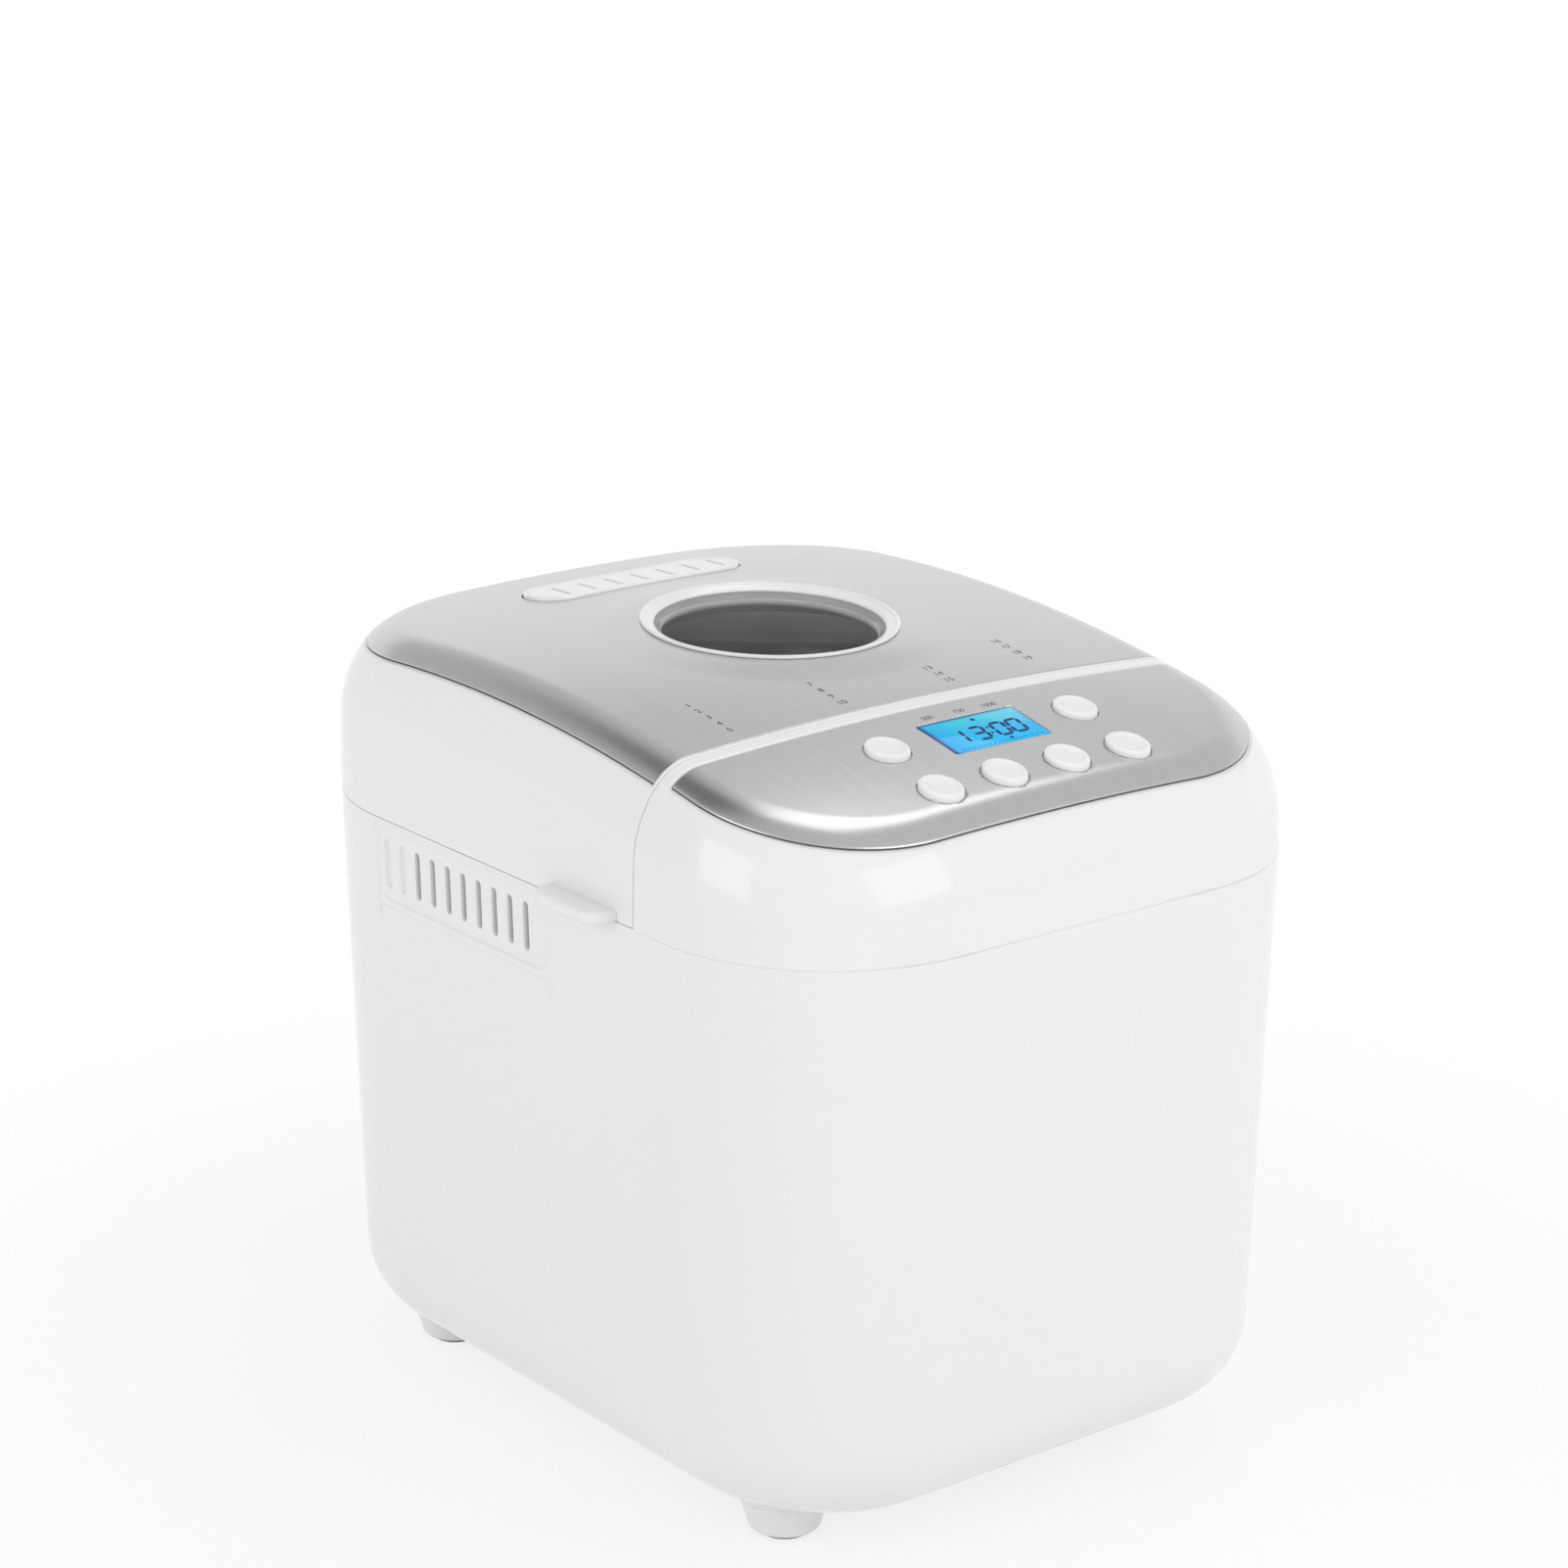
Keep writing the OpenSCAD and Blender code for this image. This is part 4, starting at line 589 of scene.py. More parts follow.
def arch(x, y):
    """Height of the dome: two parabolas that fall away from the crown, along Y and along X."""
    return crown - (y - arch_y) ** 2 / (2 * arch_r) - x ** 2 / (2 * cross_arch_r)


def shoulder_angle(inset):
    """Shoulder angle at which the skin lies this far in from the wall."""
    return math.acos(1 - (inset - upper_lean) / shoulder_in)


def dome_rings(path, angle, share, off):
    """Grid of shoulder and top points. Ring by ring, the shoulder is a quarter of an ellipse in the angle,
    and share then carries a point from the shoulder's end towards the middle line. off lowers the skin."""
    cx, cy, nx, ny, r, spine, tuck = path
    angle, share = angle[:, None], share[:, None]
    off = off + tuck
    inset = off + upper_lean + (shoulder_in - off) * (1 - np.cos(angle))
    x = (cx + (r - inset) * nx) * (1 - share)
    y0 = cy + (r - inset) * ny
    y = y0 + (spine - y0) * share
    return np.stack([x, y, arch(x, y) - off - (shoulder_drop - off) * (1 - np.sin(angle))], -1)


def cover_skin(path, plate_in, column_off, rim_z, top_rings):
    """Grid of a domed cover: the inside of its rim, the rounded rim, the leaning wall, the shoulder up to
    the channel's lip, the channel with a groove along the plate's edge, and the plate's bed in to the
    middle line. column_off is how far each column may be lowered."""
    cx, cy, nx, ny, r, _, tuck = path
    inside = carried(path, np.full((2, 1), shell_t), rim_z + np.array([[rim_lap], [0]]))
    turn = np.radians(np.linspace(0, 90, 5))[:, None]
    lip = carried(path, lip_r * (1 - np.sin(turn)) + tuck, rim_z + lip_r * (1 - np.cos(turn)))
    rise = np.linspace(0.04, 0.97, 12)[:, None]
    start = arch(cx + (r - upper_lean) * nx, cy + (r - upper_lean) * ny) - shoulder_drop
    wall = carried(path, upper_lean * rise + tuck, rim_z + (start - rim_z) * rise)
    edge, bed = shoulder_angle(plate_in - channel_w), shoulder_angle(plate_in - groove_w)
    step = math.radians(0.3)
    up = np.linspace(0, edge, 16)
    bend = np.array([edge + step, edge + 1.6 * step, edge + 2.2 * step, bed - step, bed, bed + 2 * step])
    sunk = np.array([0.1 * mm, 0.32 * mm, channel_depth, channel_depth, groove_depth, bed_depth])
    over = np.linspace(bed + 2 * step, math.pi / 2, 9)[1:]
    share = np.linspace(0, 1, top_rings + 1)[1:]
    angle = np.concatenate([up, bend, over, np.full(top_rings, math.pi / 2)])
    off = np.concatenate([0 * up, sunk, np.full(len(over) + top_rings, bed_depth)])
    off = np.minimum(off[:, None], column_off)
    rings = dome_rings(path, angle, np.concatenate([np.zeros(len(angle) - top_rings), share]), off)
    return np.concatenate([inside, lip, wall, rings])


def end_tuck(first, way, radius):
    """Columns at a cut end and how far the skin is tucked in there, which rounds the end's edge."""
    turn = np.radians(np.linspace(0, 90, 6))
    return first + way * radius * (1 - np.cos(turn)), radius * (1 - np.sin(turn))


def end_wall(skin, inside_y, rim_z):
    """Flat wall across a cut end, from the skin's first column to its last, and a sill inside it."""
    first, last = skin[2:, 0], skin[2:, -1]
    side = np.sign(first[0, 0])
    sill = np.array([[half_w - shell_t, inside_y, rim_z + rim_lap], [half_w - shell_t, inside_y, rim_z]])
    first = np.concatenate([sill * [side, 1, 1], first])
    last = np.concatenate([sill * [-side, 1, 1], last])
    across = np.linspace(0, 1, 60)[None, :, None]
    points, faces = surface(first[:, None] * (1 - across) + last[:, None] * across)
    return points, faces[:, ::-1]


def both_ends(count, middle, values):
    """A row of one value for each column: values at its start, the same mirrored at its end, and middle
    between them."""
    row = np.full(count, middle)
    row[:len(values)] = values
    row[-len(values):] = values[::-1]
    return row


edge_y, edge_tuck = end_tuck(cover_back, -1, lip_r)
strip_y = np.linspace(edge_y[-1], strip_end, 5)[1:]
groove_y = strip_end - np.array([0.05, 0.15, 0.55, 0.62, 0.7]) * mm
sides = np.concatenate([edge_y, strip_y, groove_y, [-82 * mm, -86 * mm]])
cover_path = end_path(sides, -1, front_corner_r, np.linspace(0, 90, 49), 24,
    np.concatenate([edge_tuck, np.zeros(len(sides) - len(edge_tuck))]))[:, ::-1]
lowered = both_ends(cover_path.shape[1], bed_depth,
    np.concatenate([np.zeros(len(edge_y) + len(strip_y)), groove_steps]))
cover = cover_skin(cover_path, control_plate_in, lowered, seam, 26)
cover_part = joined(surface(cover), end_wall(cover, cover_back - shell_t, seam))
fitted("front_cover_moulding", cover_part, "base", body_white, "front_cover")


# ---- Control plate ----
# Brushed stainless sheet in the front cover's bed, its edge folded down into the groove. It is pierced for
# the display and for the six buttons.
plate_t = 0.8 * mm
roll_r = 0.3 * mm
flange = 0.45 * mm
plate_gap = 0.4 * mm
panel_x = 1 * mm
lcd_y = -100.6 * mm
lcd_half = np.array([21, 10.9]) * mm
lcd_gap = 0.2 * mm
lcd_corner_r = 1 * mm
hole_r = 8.3 * mm
front_row = -128.4 * mm
back_row = -100 * mm
pitch = 27.4 * mm
back_half = 41.5 * mm
button_places = {"menu": (panel_x - back_half, back_row), "start": (panel_x + back_half, back_row),
    "weight": (-1.5 * pitch, front_row), "timer_down": (-0.5 * pitch, front_row),
    "timer_up": (0.5 * pitch, front_row), "crust": (1.5 * pitch, front_row)}


def rolled(distance):
    """Drop of a plate's face this far from its edge, round a quarter circle."""
    t = np.clip(1 - distance / roll_r, 0, 1)
    return roll_r * (1 - np.sqrt(1 - t * t))


def dome_plate(path, inset, from_end, top_rings):
    """Points of a plate that follows the dome, as x, y and height above the arch: rings from the folded
    edge over the rest of the shoulder to the middle line. from_end is each column's distance from the cut
    end."""
    edge = np.array([0, 0, 0.02, 0.07, 0.16, 0.3, 1.0]) * mm
    first = [shoulder_angle(inset + distance) for distance in edge]
    over = np.linspace(first[-1], math.pi / 2, 16)[1:]
    share = np.linspace(0, 1, top_rings + 1)[1:]
    angle = np.concatenate([first, over, np.full(top_rings, math.pi / 2)])
    rings = dome_rings(path, angle, np.concatenate([np.zeros(len(angle) - top_rings), share]), 0)
    inward = np.concatenate([edge, np.full(len(angle) - len(edge), 1.0)])[:, None]
    rings[:, :, 2] -= arch(rings[:, :, 0], rings[:, :, 1]) + rolled(np.minimum(inward, from_end))
    rings[0, :, 2] -= flange
    return surface(rings)


def brushed_steel(name, tone):
    """Stainless sheet brushed along Y: fine streaks in tone, gloss and height, much longer than wide."""
    finish = Finish(name, Metallic=1.0)
    longer = 26
    fine = finish.noise(1, (2400, 2400 / longer, 2400 / longer), 3)
    broad = finish.noise(1, (330, 330 / longer, 330 / longer), 2)
    streak = 0.6 * fine + 0.4 * broad
    dark, light = (tuple(c * tone * k for c in (1.0, 1.002, 1.008)) for k in (0.94, 1.06))
    finish.give(Base_Color=finish.shift(streak, dark, light), Roughness=0.2 + 0.09 * streak)
    finish.bump(fine, 0.004 * mm, 0.15)
    return finish.owner


def steel_sheet(name, part, columns, body, steel, node):
    """A fitted plate with its sheet's thickness below its face. Its folded edge, which is the first row of
    faces, gets a very dark steel: painted shade for the shadow line in the narrow gap round the plate."""
    sheet = fitted(name, part, body, steel, node)
    # The first row of faces, the folded edge, takes the painted shade.
    sheet.data.materials.append(edge_shade_steel)
    for face in sheet.data.polygons[:columns - 1]:
        face.material_index = 1
    solid = sheet.modifiers.new("sheet", "SOLIDIFY")
    solid.thickness, solid.offset = plate_t, -1


def panel_cut(x, y):
    """Above zero inside the display's opening and the button holes."""
    holes = [np.hypot(x - px, y - py) - hole_r for px, py in button_places.values()]
    centre = np.array([panel_x, lcd_y])
    reach = lcd_half + lcd_gap
    return -np.min(holes + [rounded_box(x, y, centre - reach, centre + reach, lcd_corner_r)], 0)


plate_end = strip_end - plate_gap
from_strip = np.array([0, 0.02, 0.07, 0.16, 0.3, 1, 1.8, 2.6, 3.4, 4.2, 5, 5.9, 6.8, 7.7, 8.7, 9.7,
    10.7]) * mm
plate_path = end_path(plate_end - from_strip, -1, front_corner_r, np.linspace(0, 90, 61), 40)[:, ::-1]
columns = plate_path.shape[1]
points, faces = dome_plate(plate_path, control_plate_in, both_ends(columns, 1.0, from_strip), 130)
points, faces = trimmed(points, faces, panel_cut)
# The points that slid onto a hole's outline take their height from the front shoulder.
at_hole = panel_cut(points[:, 0], points[:, 1]) > -0.01 * mm
over_front = np.clip((points[at_hole, 1] + half_d - upper_lean) / shoulder_in, 0, 1)
points[at_hole, 2] = -shoulder_drop * (1 - np.sqrt(1 - (1 - over_front) ** 2))
points[:, 2] += arch(points[:, 0], points[:, 1])
panel_steel = brushed_steel("panel_steel", 0.6)
# Very dark steel for the plates' folded edges: painted shade for the shadow line in the gap round each plate.
edge_shade_steel = brushed_steel("edge_shade_steel", 0.13)
steel_sheet("control_plate_sheet", (points, faces), columns, "base", panel_steel, "control_plate")


# ---- Display ----
# Clear plastic lens over a backlit liquid crystal, which glows blue, paler at its top edge and darker round
# its border. Plain digits stand in the glass, and a fine scale runs along its lower edge.
def seat(x, y):
    """Slope of the dome along Y as an angle, and the point x, y at the height of the dome's middle line."""
    return math.atan((arch_y - y) / arch_r), np.array([x, y, arch(0, y)])


def tilted(part, angle, place):
    """A part turned about the X axis by the angle and carried to a place."""
    c, s = math.cos(angle), math.sin(angle)
    return part[0] @ np.array([[1, 0, 0], [0, c, s], [0, -s, c]]) + place, part[1]


lcd_tilt, lcd_place = seat(panel_x, lcd_y)
lens_half = np.array([21, 11]) * mm
lens_corner_r = 0.9 * mm
lens_rows = np.array([(0.3, -2.2), (0, -2.0), (0, -0.45), (0.09, -0.24), (0.3, -0.15)]) * mm
lens = slab(-lens_half, lens_half, lens_corner_r, lens_rows)
glass = Finish("display_lens", Roughness=0.06, Specular_IOR_Level=0.3)
x_here, y_here = glass.along("X") - panel_x, (glass.along("Y") - lcd_y) / math.cos(lcd_tilt)
off_middle = glass.node("ShaderNodeMath", {"operation": "ABSOLUTE"}, {0: x_here - 0.5 * mm, 1: 0})
border_x = glass.spread(glass.varied(off_middle), 19.0 * mm, 21.2 * mm, "SMOOTHSTEP")
border_y = glass.spread(y_here, 9.2 * mm, 10.9 * mm, "SMOOTHSTEP")
border = glass.node("ShaderNodeMath", {"operation": "MAXIMUM"}, {0: border_x, 1: border_y})
upward = glass.spread(y_here, -11 * mm, 11 * mm)
blue = glass.ramp(upward, [(0.0, (0.004, 0.42, 0.76)), (0.5, (0.004, 0.4, 0.68)), (0.85, (0.02, 0.5, 0.62))])
blue = glass.shift(0.45 * glass.spread(x_here, -8 * mm, -20 * mm), blue, (0.004, 0.24, 0.68))
blue = glass.shift(0.3 * glass.noise(90, detail=3), blue, (0.004, 0.27, 0.62))
lit = glass.shift(glass.varied(border), blue, (0.02, 0.06, 0.2))
glass.give(Base_Color=lit, Emission_Color=lit, Emission_Strength=0.3)
fitted("display_lens_window", tilted(lens, lcd_tilt, lcd_place), "base", glass.owner, "lcd_lens")

# A digit's seven segments, as the ends of each in units of its half width and half height.
segment_ends = {"a": (-1, 1, 1, 1), "b": (1, 1, 1, 0), "c": (1, 0, 1, -1), "d": (-1, -1, 1, -1),
    "e": (-1, 0, -1, -1), "f": (-1, 1, -1, 0), "g": (-1, 0, 1, 0)}
digit_segments = {"1": "bc", "3": "abcdg", "0": "abcdef"}
stroke = 1.4 * mm
half_digit = np.array([2.5, 4.25]) * mm
digit_y = -1.5 * mm
digit_slant = 0.087
mark_lift = -0.13 * mm


def bar(x0, y0, x1, y1, width, gap=0.15 * mm):
    """Six corners of a segment: a bar pointed at both ends, drawn in a little from the joints."""
    start, end = np.array([x0, y0]), np.array([x1, y1])
    way = (end - start) / np.hypot(*(end - start))
    side = np.array([way[1], -way[0]]) * width / 2
    start, end = start + way * gap, end - way * gap
    shoulder = way * width / 2
    return np.array([start, start + shoulder + side, end - shoulder + side, end, end - shoulder - side,
        start + shoulder - side])


shapes = []
for sign, mid_x in (("1", -11.9 * mm), ("3", -2.7 * mm), ("0", 6.4 * mm), ("0", 13.2 * mm)):
    for segment in digit_segments[sign]:
        ends = np.array(segment_ends[segment]).reshape(2, 2) * half_digit
        shapes.append(bar(*ends[0], *ends[1], stroke) + np.array([mid_x, digit_y]))
slope = np.array([[1, 0], [digit_slant, 1]])
octagon = np.array([(math.cos(a), math.sin(a)) for a in np.arange(8) * math.pi / 4])
dots = [octagon * size * mm + np.array([x, y]) * mm
    for x, y, size in ((2.1, 1.0, 0.65), (1.7, -2.9, 0.65), (0.6, 7.7, 0.95), (6.2, -8.3, 0.8))]
ticks = [np.array([[0, -0.16], [1.5, -0.16], [1.5, 0.16], [0, 0.16]]) * mm + np.array([x, -9.6]) * mm
    for x in np.arange(-17.5, 18, 2.3)]
marks, mark_faces = [], []
for shape in [shape @ slope for shape in shapes + dots] + ticks:
    mark_faces.append(list(range(len(marks), len(marks) + len(shape))))
    marks.extend(shape.tolist())
marks = np.column_stack([marks, np.full(len(marks), mark_lift)])
digits = tilted((marks, mark_faces), lcd_tilt, lcd_place)
ink = Finish("display_ink", Roughness=0.3, Specular_IOR_Level=0.1)
ink.give(Base_Color=ink.shift(ink.noise(400), (0.004, 0.02, 0.1), (0.008, 0.03, 0.14)))
fitted("display_digits", digits, "base", ink.owner, smooth=False)


# ---- Buttons ----
# Six white keys in the plate's holes. Each cap lies along the panel, is dished with a fine ridge round the
# dish, and goes straight down into its hole on the switch below.
key_rows = np.array([(0, -5.0), (7.85, -5.0), (7.82, -0.5), (7.75, 0.9), (7.63, 1.32), (7.4, 1.62),
    (7.1, 1.75), (6.75, 1.8), (6.4, 1.92), (6.1, 1.92), (5.85, 1.72), (5.5, 1.62), (3.5, 1.56), (1.5, 1.54),
    (0, 1.54)]) * mm
key_white = white_plastic("key_white", 0.88, 0.2)
for name, (px, py) in button_places.items():
    points, faces = turned(key_rows, 72)
    points[:, 2] += arch(px, py) - (py - arch_y) / arch_r * points[:, 1]
    key = points + np.array([px, py, 0]), faces
    fitted("key_" + name, key, "key_" + name, key_white, "button_" + name)


# ---- Lid shell ----
# White moulded dome of the lid, open under the window and the vent. A bed takes the steel plate, with a
# narrow channel round it. The front end is closed by a flat wall, the back is notched for the hinge, and
# two finger tabs stand out at the sides.
lid_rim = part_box("lid_shell")[0].z
lid_plate_in = 10.4 * mm
window = np.array([0, 15]) * mm
window_hole_r = 45 * mm
vent = np.array([0, 98]) * mm
vent_half = 34 * mm
vent_r = 12.5 * mm
vent_end_gap = 0.6 * mm
vent_side_gap = 0.1 * mm
notch_half = 86.4 * mm
notch_z = seam + 17.5 * mm
tab_low = np.array([119, -64]) * mm
tab_high = np.array([135, -26]) * mm
tab_corner_r = 8 * mm
front_lip = 1.15 * mm
notch_columns = 32
edge_y, edge_tuck = end_tuck(lid_front, 1, lip_r)
lip_y = lid_front + front_lip + np.array([0, 0.06, 0.16, 0.5, 0.56, 0.64]) * mm
lid_sides = np.concatenate([edge_y[:-1], [lid_front + 0.6 * mm], lip_y,
    np.linspace(lid_front + 3 * mm, half_d - rear_corner_r, 60)])
notch_angle = math.degrees(math.acos((notch_half - half_w + rear_corner_r) / rear_corner_r))
lid_corner = np.concatenate([np.linspace(0, notch_angle, notch_columns + 1)[1:],
    np.linspace(notch_angle, 90, 17)[1:]])
lid_tuck = np.concatenate([edge_tuck[:-1], np.zeros(len(lid_sides) - len(edge_tuck) + 1)])
lid_path = end_path(lid_sides, 1, rear_corner_r, lid_corner, 24, lid_tuck)
# Two columns stand at each end of the notch, one at each rim height.
to_notch = len(lid_sides) + notch_columns
edges = to_notch - 1, lid_path.shape[1] - to_notch
lid_path = np.insert(lid_path, edges, lid_path[:, list(edges)], 1)
column = np.arange(lid_path.shape[1])
in_notch = (column > edges[0]) & (column < edges[1] + 2)
lowered = both_ends(lid_path.shape[1], bed_depth, np.concatenate([np.zeros(len(edge_y) + 1), groove_steps]))
lid = cover_skin(lid_path, lid_plate_in, lowered, np.where(in_notch, notch_z, lid_rim), 30)


def lid_cut(x, y):
    """Above zero inside the window's and the vent's openings."""
    return np.maximum(window_hole_r - np.hypot(x - window[0], y - window[1]),
        -long_slot(x, y, vent, (1, 0), vent_half + vent_end_gap, vent_r + vent_side_gap))


lid_dome = trimmed(*surface(lid), lid_cut)
tab_rows = np.array([(0.7, 220.6), (0.2, 220.8), (0, 221.3), (0, 223.6), (0.25, 224.2), (0.9, 224.55),
    (1.6, 224.6)]) * mm
tab = slab(tab_low, tab_high, tab_corner_r, tab_rows, 14)
left_tab = tab[0] * np.array([-1, 1, 1]), [face[::-1] for face in tab[1]]
lid_part = joined(lid_dome, end_wall(lid, lid_front + shell_t, lid_rim), tab, left_tab)
fitted("lid_moulding", lid_part, "lid", body_white, "lid_shell")


# ---- Lid plate ----
# Brushed stainless sheet on the lid, its edge folded down into the groove. It is pressed flat round the
# window, so that the window ring sits level, and pierced for the window and the steam vent.
press_r = 47 * mm
press_fade = 20 * mm
press_sink = 0.5 * mm
window_tilt, window_place = seat(*window)
plate_front = lid_front + front_lip + 0.2 * mm
from_front = np.array([0, 0.02, 0.07, 0.16, 0.3, 1, 2]) * mm
plate_sides = np.concatenate([plate_front + from_front, np.linspace(plate_front + 3.2 * mm,
    half_d - rear_corner_r, 128)])
plate_path = end_path(plate_sides, 1, rear_corner_r, np.linspace(0, 90, 61)[1:], 40)
columns = plate_path.shape[1]
points, faces = dome_plate(plate_path, lid_plate_in, both_ends(columns, 1.0, from_front), 110)
points, faces = trimmed(points, faces, lid_cut)
flat = points[:, :2]
from_window = np.hypot(*(flat - window).T)
# Beyond the pressed flat, its edge's height above the arch fades out along the same ray.
near = window + (flat - window) * np.minimum(1, press_r / from_window)[:, None]
level = window_place[2] + (near[:, 1] - window[1]) * math.tan(window_tilt) - press_sink - arch(*near.T)
points[:, 2] += level * (1 - smooth_step((from_window - press_r) / press_fade)) + arch(*flat.T)
lid_steel = brushed_steel("lid_steel", 0.6)
steel_sheet("lid_plate_sheet", (points, faces), columns, "lid", lid_steel, "lid_plate")


# ---- Window ring and glass ----
# White moulded ring that holds the tempered outer glass. It rests on the pressed flat with a narrow lip and
# slopes in to the glass, which lies sunk inside it.
ring_rows = np.array([(38.6, -6), (44.4, -6), (44.4, -0.45), (46.2, -0.45), (46.42, -0.35), (46.5, -0.15),
    (46.5, 0.35), (46.42, 0.6), (46.2, 0.75), (45.8, 0.8), (45.4, 0.75), (45.1, 0.6), (44.8, 0.2),
    (44.5, 0.05), (43.2, -0.25), (42.0, -0.75), (41.5, -1.05), (41.28, -1.4), (41.2, -1.8), (41.2, -4.2),
    (38.6, -4.2), (38.6, -6)]) * mm
ring = tilted(turned(ring_rows, 160), window_tilt, window_place)
fitted("window_ring_moulding", ring, "lid", body_white, "window_ring")
glass_rows = np.array([(0, -4.2), (40.6, -4.2), (41, -3.9), (41, -1.5), (40.6, -1.2), (0, -1.2)]) * mm
pane = tilted(turned(glass_rows, 160), window_tilt, window_place)
clear = Finish("window_clear", IOR=1.5)
clear.give(Base_Color=clear.shift(clear.noise(30), (0.03, 0.035, 0.04), (0.04, 0.045, 0.05)),
    Roughness=0.02 + 0.03 * clear.noise(60), Alpha=0.2 + 0.06 * clear.noise(20))
fitted("window_pane", pane, "lid", clear.owner, "window_glass")


# ---- Steam vent ----
# White insert in the lid plate, with seven slanted slots that let the steam out of the lid. A raised rim
# runs round its face.
vent_pitch = 11.8 * mm
vent_shift = 3.0 * mm
vent_slant = math.radians(7)
vent_slot_half = 6.6 * mm
vent_slot_r = 0.8 * mm
vent_way = (math.sin(vent_slant), math.cos(vent_slant))
vent_slots = [(vent_shift + vent_pitch * i, 0) for i in range(-3, 4)]
vent_face = 0.6 * mm
vent_t = 2 * mm
vent_rim_w = 1.7 * mm
vent_sink = 0.25 * mm
vent_rim_fade = 0.5 * mm
vent_slot_turn = 0.2 * mm
vent_slot_edge = 0.35 * mm


def vent_outline(x, y):
    """Signed distance to the insert's outline."""
    return long_slot(x, y, (0, 0), (1, 0), vent_half, vent_r)


def vent_cut(x, y):
    """Above zero outside the insert and inside its slots."""
    slots = [long_slot(x, y, centre, vent_way, vent_slot_half, vent_slot_r) for centre in vent_slots]
    return np.maximum(vent_outline(x, y), -np.min(slots, 0))


flat, faces = plane_sheet(np.linspace(-47, 47, 270) * mm, np.linspace(-13, 13, 75) * mm, vent_cut)
inward = -vent_outline(*flat.T)
slot_near = np.clip(1 + vent_cut(*flat.T) / vent_slot_edge, 0, 1) * (inward > 2 * mm)
inside_rim = smooth_step((inward - vent_rim_w) / vent_rim_fade)
height = vent_face - rolled(inward) - vent_sink * inside_rim - vent_slot_turn * slot_near ** 2
front = np.column_stack([flat, height])
insert = walled(front, front - np.array([0, 0, vent_t]), faces[:, ::-1])
fitted("steam_vent_insert", tilted(insert, *seat(*vent)), "lid", body_white, "steam_vent")


# ---- Printed numbers ----
# A plain list of numbers printed in grey on the lid plate, in four columns in front of the window, and
# three loaf weights in grams on the control plate, behind the display.
number_size = 4.1 * mm
weight_size = 3.2 * mm
list_columns = [(-76.9, -39.1, 1, 5), (-30.0, -40.1, 6, 5), (16.8, -40.6, 11, 5), (57.5, -41.0, 16, 4)]
row_pitch = 5.78
print_lift = 0.02 * mm


def printed(words, size):
    """Flat mesh of several words, each with its place in millimetres, on the dome's surface."""
    glyphs = []
    for word, x, y in words:
        curve = bpy.data.curves.new("print", "FONT")
        curve.body, curve.size = word, size
        curve.align_x, curve.align_y = "CENTER", "CENTER"
        holder = bpy.data.objects.new("print", curve)
        bpy.context.scene.collection.objects.link(holder)
        bpy.context.view_layer.update()
        mesh = holder.to_mesh()
        flat = np.array([corner.co[:] for corner in mesh.vertices]) + np.array([x * mm, y * mm, 0])
        glyphs.append((flat, [list(face.vertices) for face in mesh.polygons]))
        holder.to_mesh_clear()
        bpy.data.objects.remove(holder)
        bpy.data.curves.remove(curve)
    points, faces = joined(*glyphs)
    points[:, 2] = arch(points[:, 0], points[:, 1]) + print_lift
    return points, faces


number_ink = Finish("number_ink", Roughness=0.5)
number_ink.give(Base_Color=number_ink.shift(number_ink.noise(900), (0.03, 0.03, 0.033),
    (0.06, 0.06, 0.063)))
numbers = [(str(first + i), x, y - i * row_pitch) for x, y, first, count in list_columns
    for i in range(count)]
fitted("number_list", printed(numbers, number_size), "lid", number_ink.owner, smooth=False)
weights = [("500", -11.8, -86.0), ("750", 2.2, -86.0), ("1000", 15.4, -86.0)]
fitted("weight_numbers", printed(weights, weight_size), "base", number_ink.owner, smooth=False)


# ---- Inner pieces that keep their own shape ----
# Frames, chamber, pan, drive and electronics show through the slots, the window and the open lid. Each
# group has the finish of what it is made of.
def plain_finish(name, dark, light, rough, spread, scale, metallic=0.0, stretch=(1, 1, 1), depth=0.02):
    """A finish that drifts between two tones, with its gloss and its surface following the same cloud."""
    finish = Finish(name, Metallic=metallic)
    cloud = finish.noise(scale, stretch, 4)
    finish.give(Base_Color=finish.shift(cloud, dark, light), Roughness=rough + spread * cloud)
    finish.bump(finish.noise(scale * 3, stretch, 3), depth * mm, 0.5)
    return finish.owner


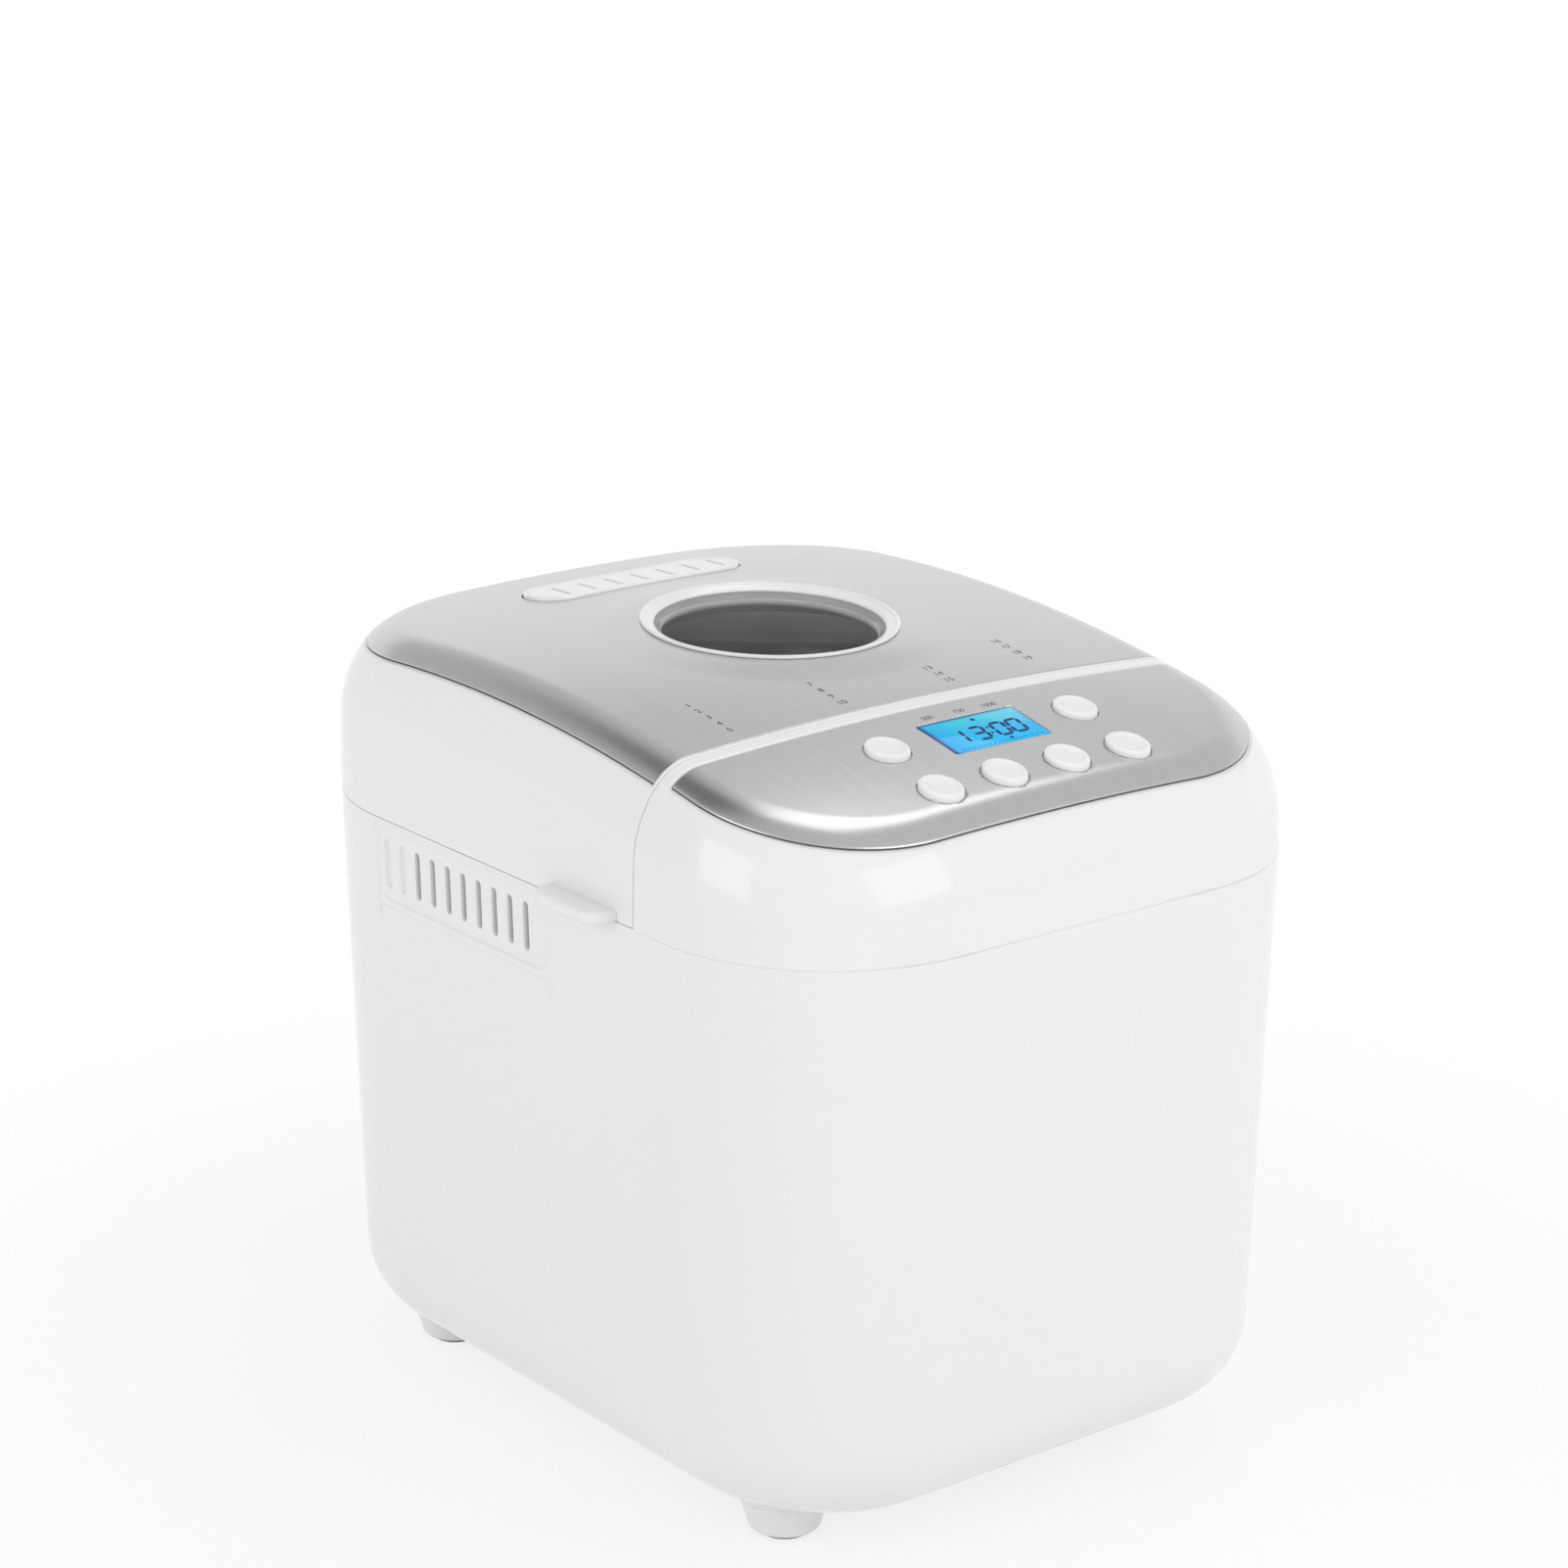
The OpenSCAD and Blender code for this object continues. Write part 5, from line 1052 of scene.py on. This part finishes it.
frame_white = white_plastic("frame_white", 0.8, 0.3)
inner_finishes = {
    frame_white: ["lid_frame", "top_deck", "motor_capacitor", "motor_fan"],
    plain_finish("zinc_sheet", (0.5, 0.51, 0.53), (0.66, 0.67, 0.69), 0.3, 0.2, 60, 1.0): [
        "base_plate", "base_screws", "control_screws", "lid_screws", "element_clips", "chassis",
        "pan_socket", "pan_ears", "motor_end_bells"],
    plain_finish("aluminium_sheet", (0.55, 0.56, 0.57), (0.68, 0.69, 0.7), 0.25, 0.15, 25, 1.0, (1, 1, 8)): [
        "lid_liner", "window_well", "pan_base"],
    plain_finish("coated_chamber", (0.2, 0.2, 0.21), (0.27, 0.27, 0.28), 0.4, 0.15, 80): ["chamber_liner"],
    plain_finish("pan_coating", (0.045, 0.045, 0.05), (0.075, 0.075, 0.08), 0.3, 0.2, 500): ["bread_pan",
        "kneading_paddle"],
    plain_finish("bright_steel", (0.52, 0.53, 0.54), (0.62, 0.63, 0.64), 0.16, 0.12, 200, 1.0, (1, 1, 6)): [
        "bail_handle", "pan_shaft", "drive_shaft", "motor_shaft", "hinge_pins", "temperature_probe",
        "motor_pulley"],
    plain_finish("element_oxide", (0.1, 0.105, 0.11), (0.2, 0.2, 0.21), 0.4, 0.25, 90, 0.8): [
        "heating_element"],
    plain_finish("ceramic_white", (0.72, 0.7, 0.64), (0.8, 0.78, 0.73), 0.5, 0.2, 120): [
        "element_insulators"],
    plain_finish("sintered_bronze", (0.4, 0.26, 0.11), (0.52, 0.36, 0.17), 0.4, 0.2, 700, 1.0): [
        "bearing_bushes", "pan_bearing"],
    plain_finish("seal_silicone", (0.45, 0.06, 0.04), (0.55, 0.09, 0.06), 0.45, 0.2, 200): ["shaft_seal"],
    plain_finish("cast_iron", (0.13, 0.13, 0.135), (0.2, 0.2, 0.205), 0.5, 0.2, 300, 0.7, depth=0.06): [
        "drive_coupling", "bearing_housing"],
    plain_finish("black_moulding", (0.02, 0.02, 0.022), (0.04, 0.04, 0.042), 0.4, 0.2, 150): [
        "large_pulley", "tact_switches", "cord_gland"],
    plain_finish("belt_rubber", (0.022, 0.022, 0.022), (0.045, 0.045, 0.045), 0.7, 0.2, 400, depth=0.06): [
        "drive_belt"],
    plain_finish("lamination_steel", (0.24, 0.24, 0.25), (0.38, 0.38, 0.39), 0.35, 0.2, 2, 0.9,
        (1, 1, 900)): ["motor_stator", "motor_rotor"],
    plain_finish("board_green", (0.01, 0.09, 0.035), (0.02, 0.15, 0.06), 0.35, 0.2, 220): [
        "control_board", "power_board"],
    plain_finish("module_navy", (0.012, 0.02, 0.08), (0.02, 0.035, 0.12), 0.4, 0.2, 150): ["lcd_module"],
    clear.owner: ["inner_glass"],
}
for finish, nodes in inner_finishes.items():
    for node in nodes:
        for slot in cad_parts[node].material_slots:
            slot.material = finish
